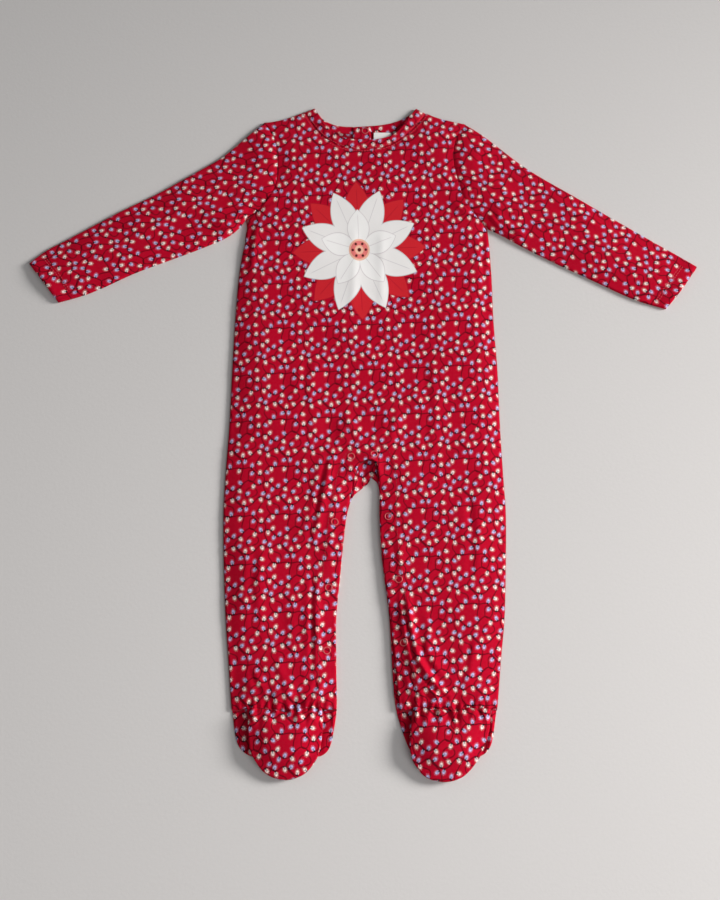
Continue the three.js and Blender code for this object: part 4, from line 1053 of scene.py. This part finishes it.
neck_line = resampled(lines["neck"], 3.0)
stitch_row("stitches_neck", [sideways(neck_line, 1.9)], [band_tree], thread)
stitch_row("stitches_chest", [sideways(neck_line, -1.9)], [front_tree], thread)
for side in SIDES:
    hem = [Vector((x, y, 0)) for x, y in HEM_LINES[side]]
    stitch_row("stitches_hem_" + side, [hem, sideways(hem, 2.6)],
                                         [sleeve_trees[side]], thread)
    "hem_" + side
    inner = resampled(lines["inner_" + side], 4.0)
    row = sideways(inner, LEG_STITCHES_FROM_EDGE if side == "left" else -LEG_STITCHES_FROM_EDGE)
    stitch_row("stitches_leg_" + side, [row], [front_tree], leg_thread)
    "leg_" + side

# ---- ring snaps
SNAP_RADIUS = 3.45
SNAP_TUBE = 0.5
SNAP_STEPS = 40
SNAP_TUBE_STEPS = 10
PRONGS = 5


def ring_snap(node, carrier):
    """A pressed metal ring on the cloth, where the CAD node is, with dimples over its prongs."""
    low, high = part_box(node)
    middle = (low + high) / 2 / MM
    rings = []
    for step in range(SNAP_STEPS):
        angle = 2 * math.pi * step / SNAP_STEPS
        spot = Vector((middle.x + SNAP_RADIUS * math.cos(angle), middle.y + SNAP_RADIUS * math.sin(angle)))
        base = height_on(carrier, spot)
        base = low.z / MM if base is None else base
        dimple = 0.12 * max(math.cos(PRONGS * angle), 0) ** 6
        ring = []
        for part in range(SNAP_TUBE_STEPS):
            around = 2 * math.pi * part / SNAP_TUBE_STEPS
            out = SNAP_TUBE * math.cos(around)
            up = 0.36 * math.sin(around)
            ring.append(Vector((spot.x + out * math.cos(angle), spot.y + out * math.sin(angle),
                                base + 0.3 + up - (dimple if up > 0 else 0))))
        rings.append(ring)
    rings.append(rings[0])
    mesh = tube_mesh(node + "_ring", rings, closed_ends=False)
    joined = bmesh.new()
    joined.from_mesh(mesh)
    bmesh.ops.remove_doubles(joined, verts=joined.verts, dist=WELD)
    joined.to_mesh(mesh)
    joined.free()
    mesh.polygons.foreach_set("use_smooth", np.ones(len(mesh.polygons), bool))
    mesh.materials.append(enamel)
    piece = new_piece(node + "_ring", mesh)
    claim(piece, [node])
    return piece


leg_rings = [ring_snap(f"snap_{side}_{index}", front_tree) for side in SIDES for index in range(1, 5)]
neck_ring = ring_snap("snap_neck", tree_of(placket))

# ---- floor, light and camera
floor_mesh = bpy.data.meshes.new("floor")
FLOOR_HALF = 6.0
FLOOR_DROP = 0.0001
floor_mesh.from_pydata([(x * FLOOR_HALF, y * FLOOR_HALF, -FLOOR_DROP)
                        for x, y in ((-1, -1), (1, -1), (1, 1), (-1, 1))], [], [(0, 1, 2, 3)])
floor = new_piece("floor", floor_mesh)
floor_mesh.materials.append(plain_material("pale_floor", colour(206, 204, 202), colour(211, 209, 207),
                                           300.0, 0.9, 0.2))


def area_light(name, at, towards, size, power, tint, spread=180):
    data = bpy.data.lights.new(name, "AREA")
    data.shape = "DISK"
    data.size = size
    data.energy = power
    data.color = tint
    data.spread = math.radians(spread)
    lamp = bpy.data.objects.new(name, data)
    bpy.context.scene.collection.objects.link(lamp)
    lamp.location = at
    lamp.rotation_euler = (Vector(towards) - Vector(at)).to_track_quat("-Z", "Y").to_euler()


area_light("key", (3.5, 0.5, 1.4), (0.1, -0.4, 0), 1.4, 27.8, (1.0, 0.975, 0.965), 60)
area_light("fill", (1.2, -1.5, 1.6), (0.15, 0, 0), 1.5, 15.2, (1.0, 0.965, 0.965))
world = bpy.data.worlds.new("studio")
bpy.context.scene.world = world
world.use_nodes = True
world.node_tree.nodes["Background"].inputs["Color"].default_value = (0.975, 0.985, 1.0, 1.0)
world.node_tree.nodes["Background"].inputs["Strength"].default_value = 0.235
bpy.context.scene.view_settings.view_transform = "Standard"

# The camera looks down at 74 degrees from the foot end, as in the photograph
CAMERA_TARGET = Vector((-3.2, -28.9, 0)) * MM
CAMERA_PITCH = math.radians(16)
CAMERA_DISTANCE = 1.6
camera_data = bpy.data.cameras.new("camera")
camera_data.lens = 60
camera_data.sensor_fit = "VERTICAL"
camera_data.sensor_height = 36
camera = bpy.data.objects.new("camera", camera_data)
bpy.context.scene.collection.objects.link(camera)
camera.location = CAMERA_TARGET + CAMERA_DISTANCE * Vector((0, -math.sin(CAMERA_PITCH), math.cos(CAMERA_PITCH)))
camera.rotation_euler = (CAMERA_PITCH, 0, 0)
bpy.context.scene.camera = camera
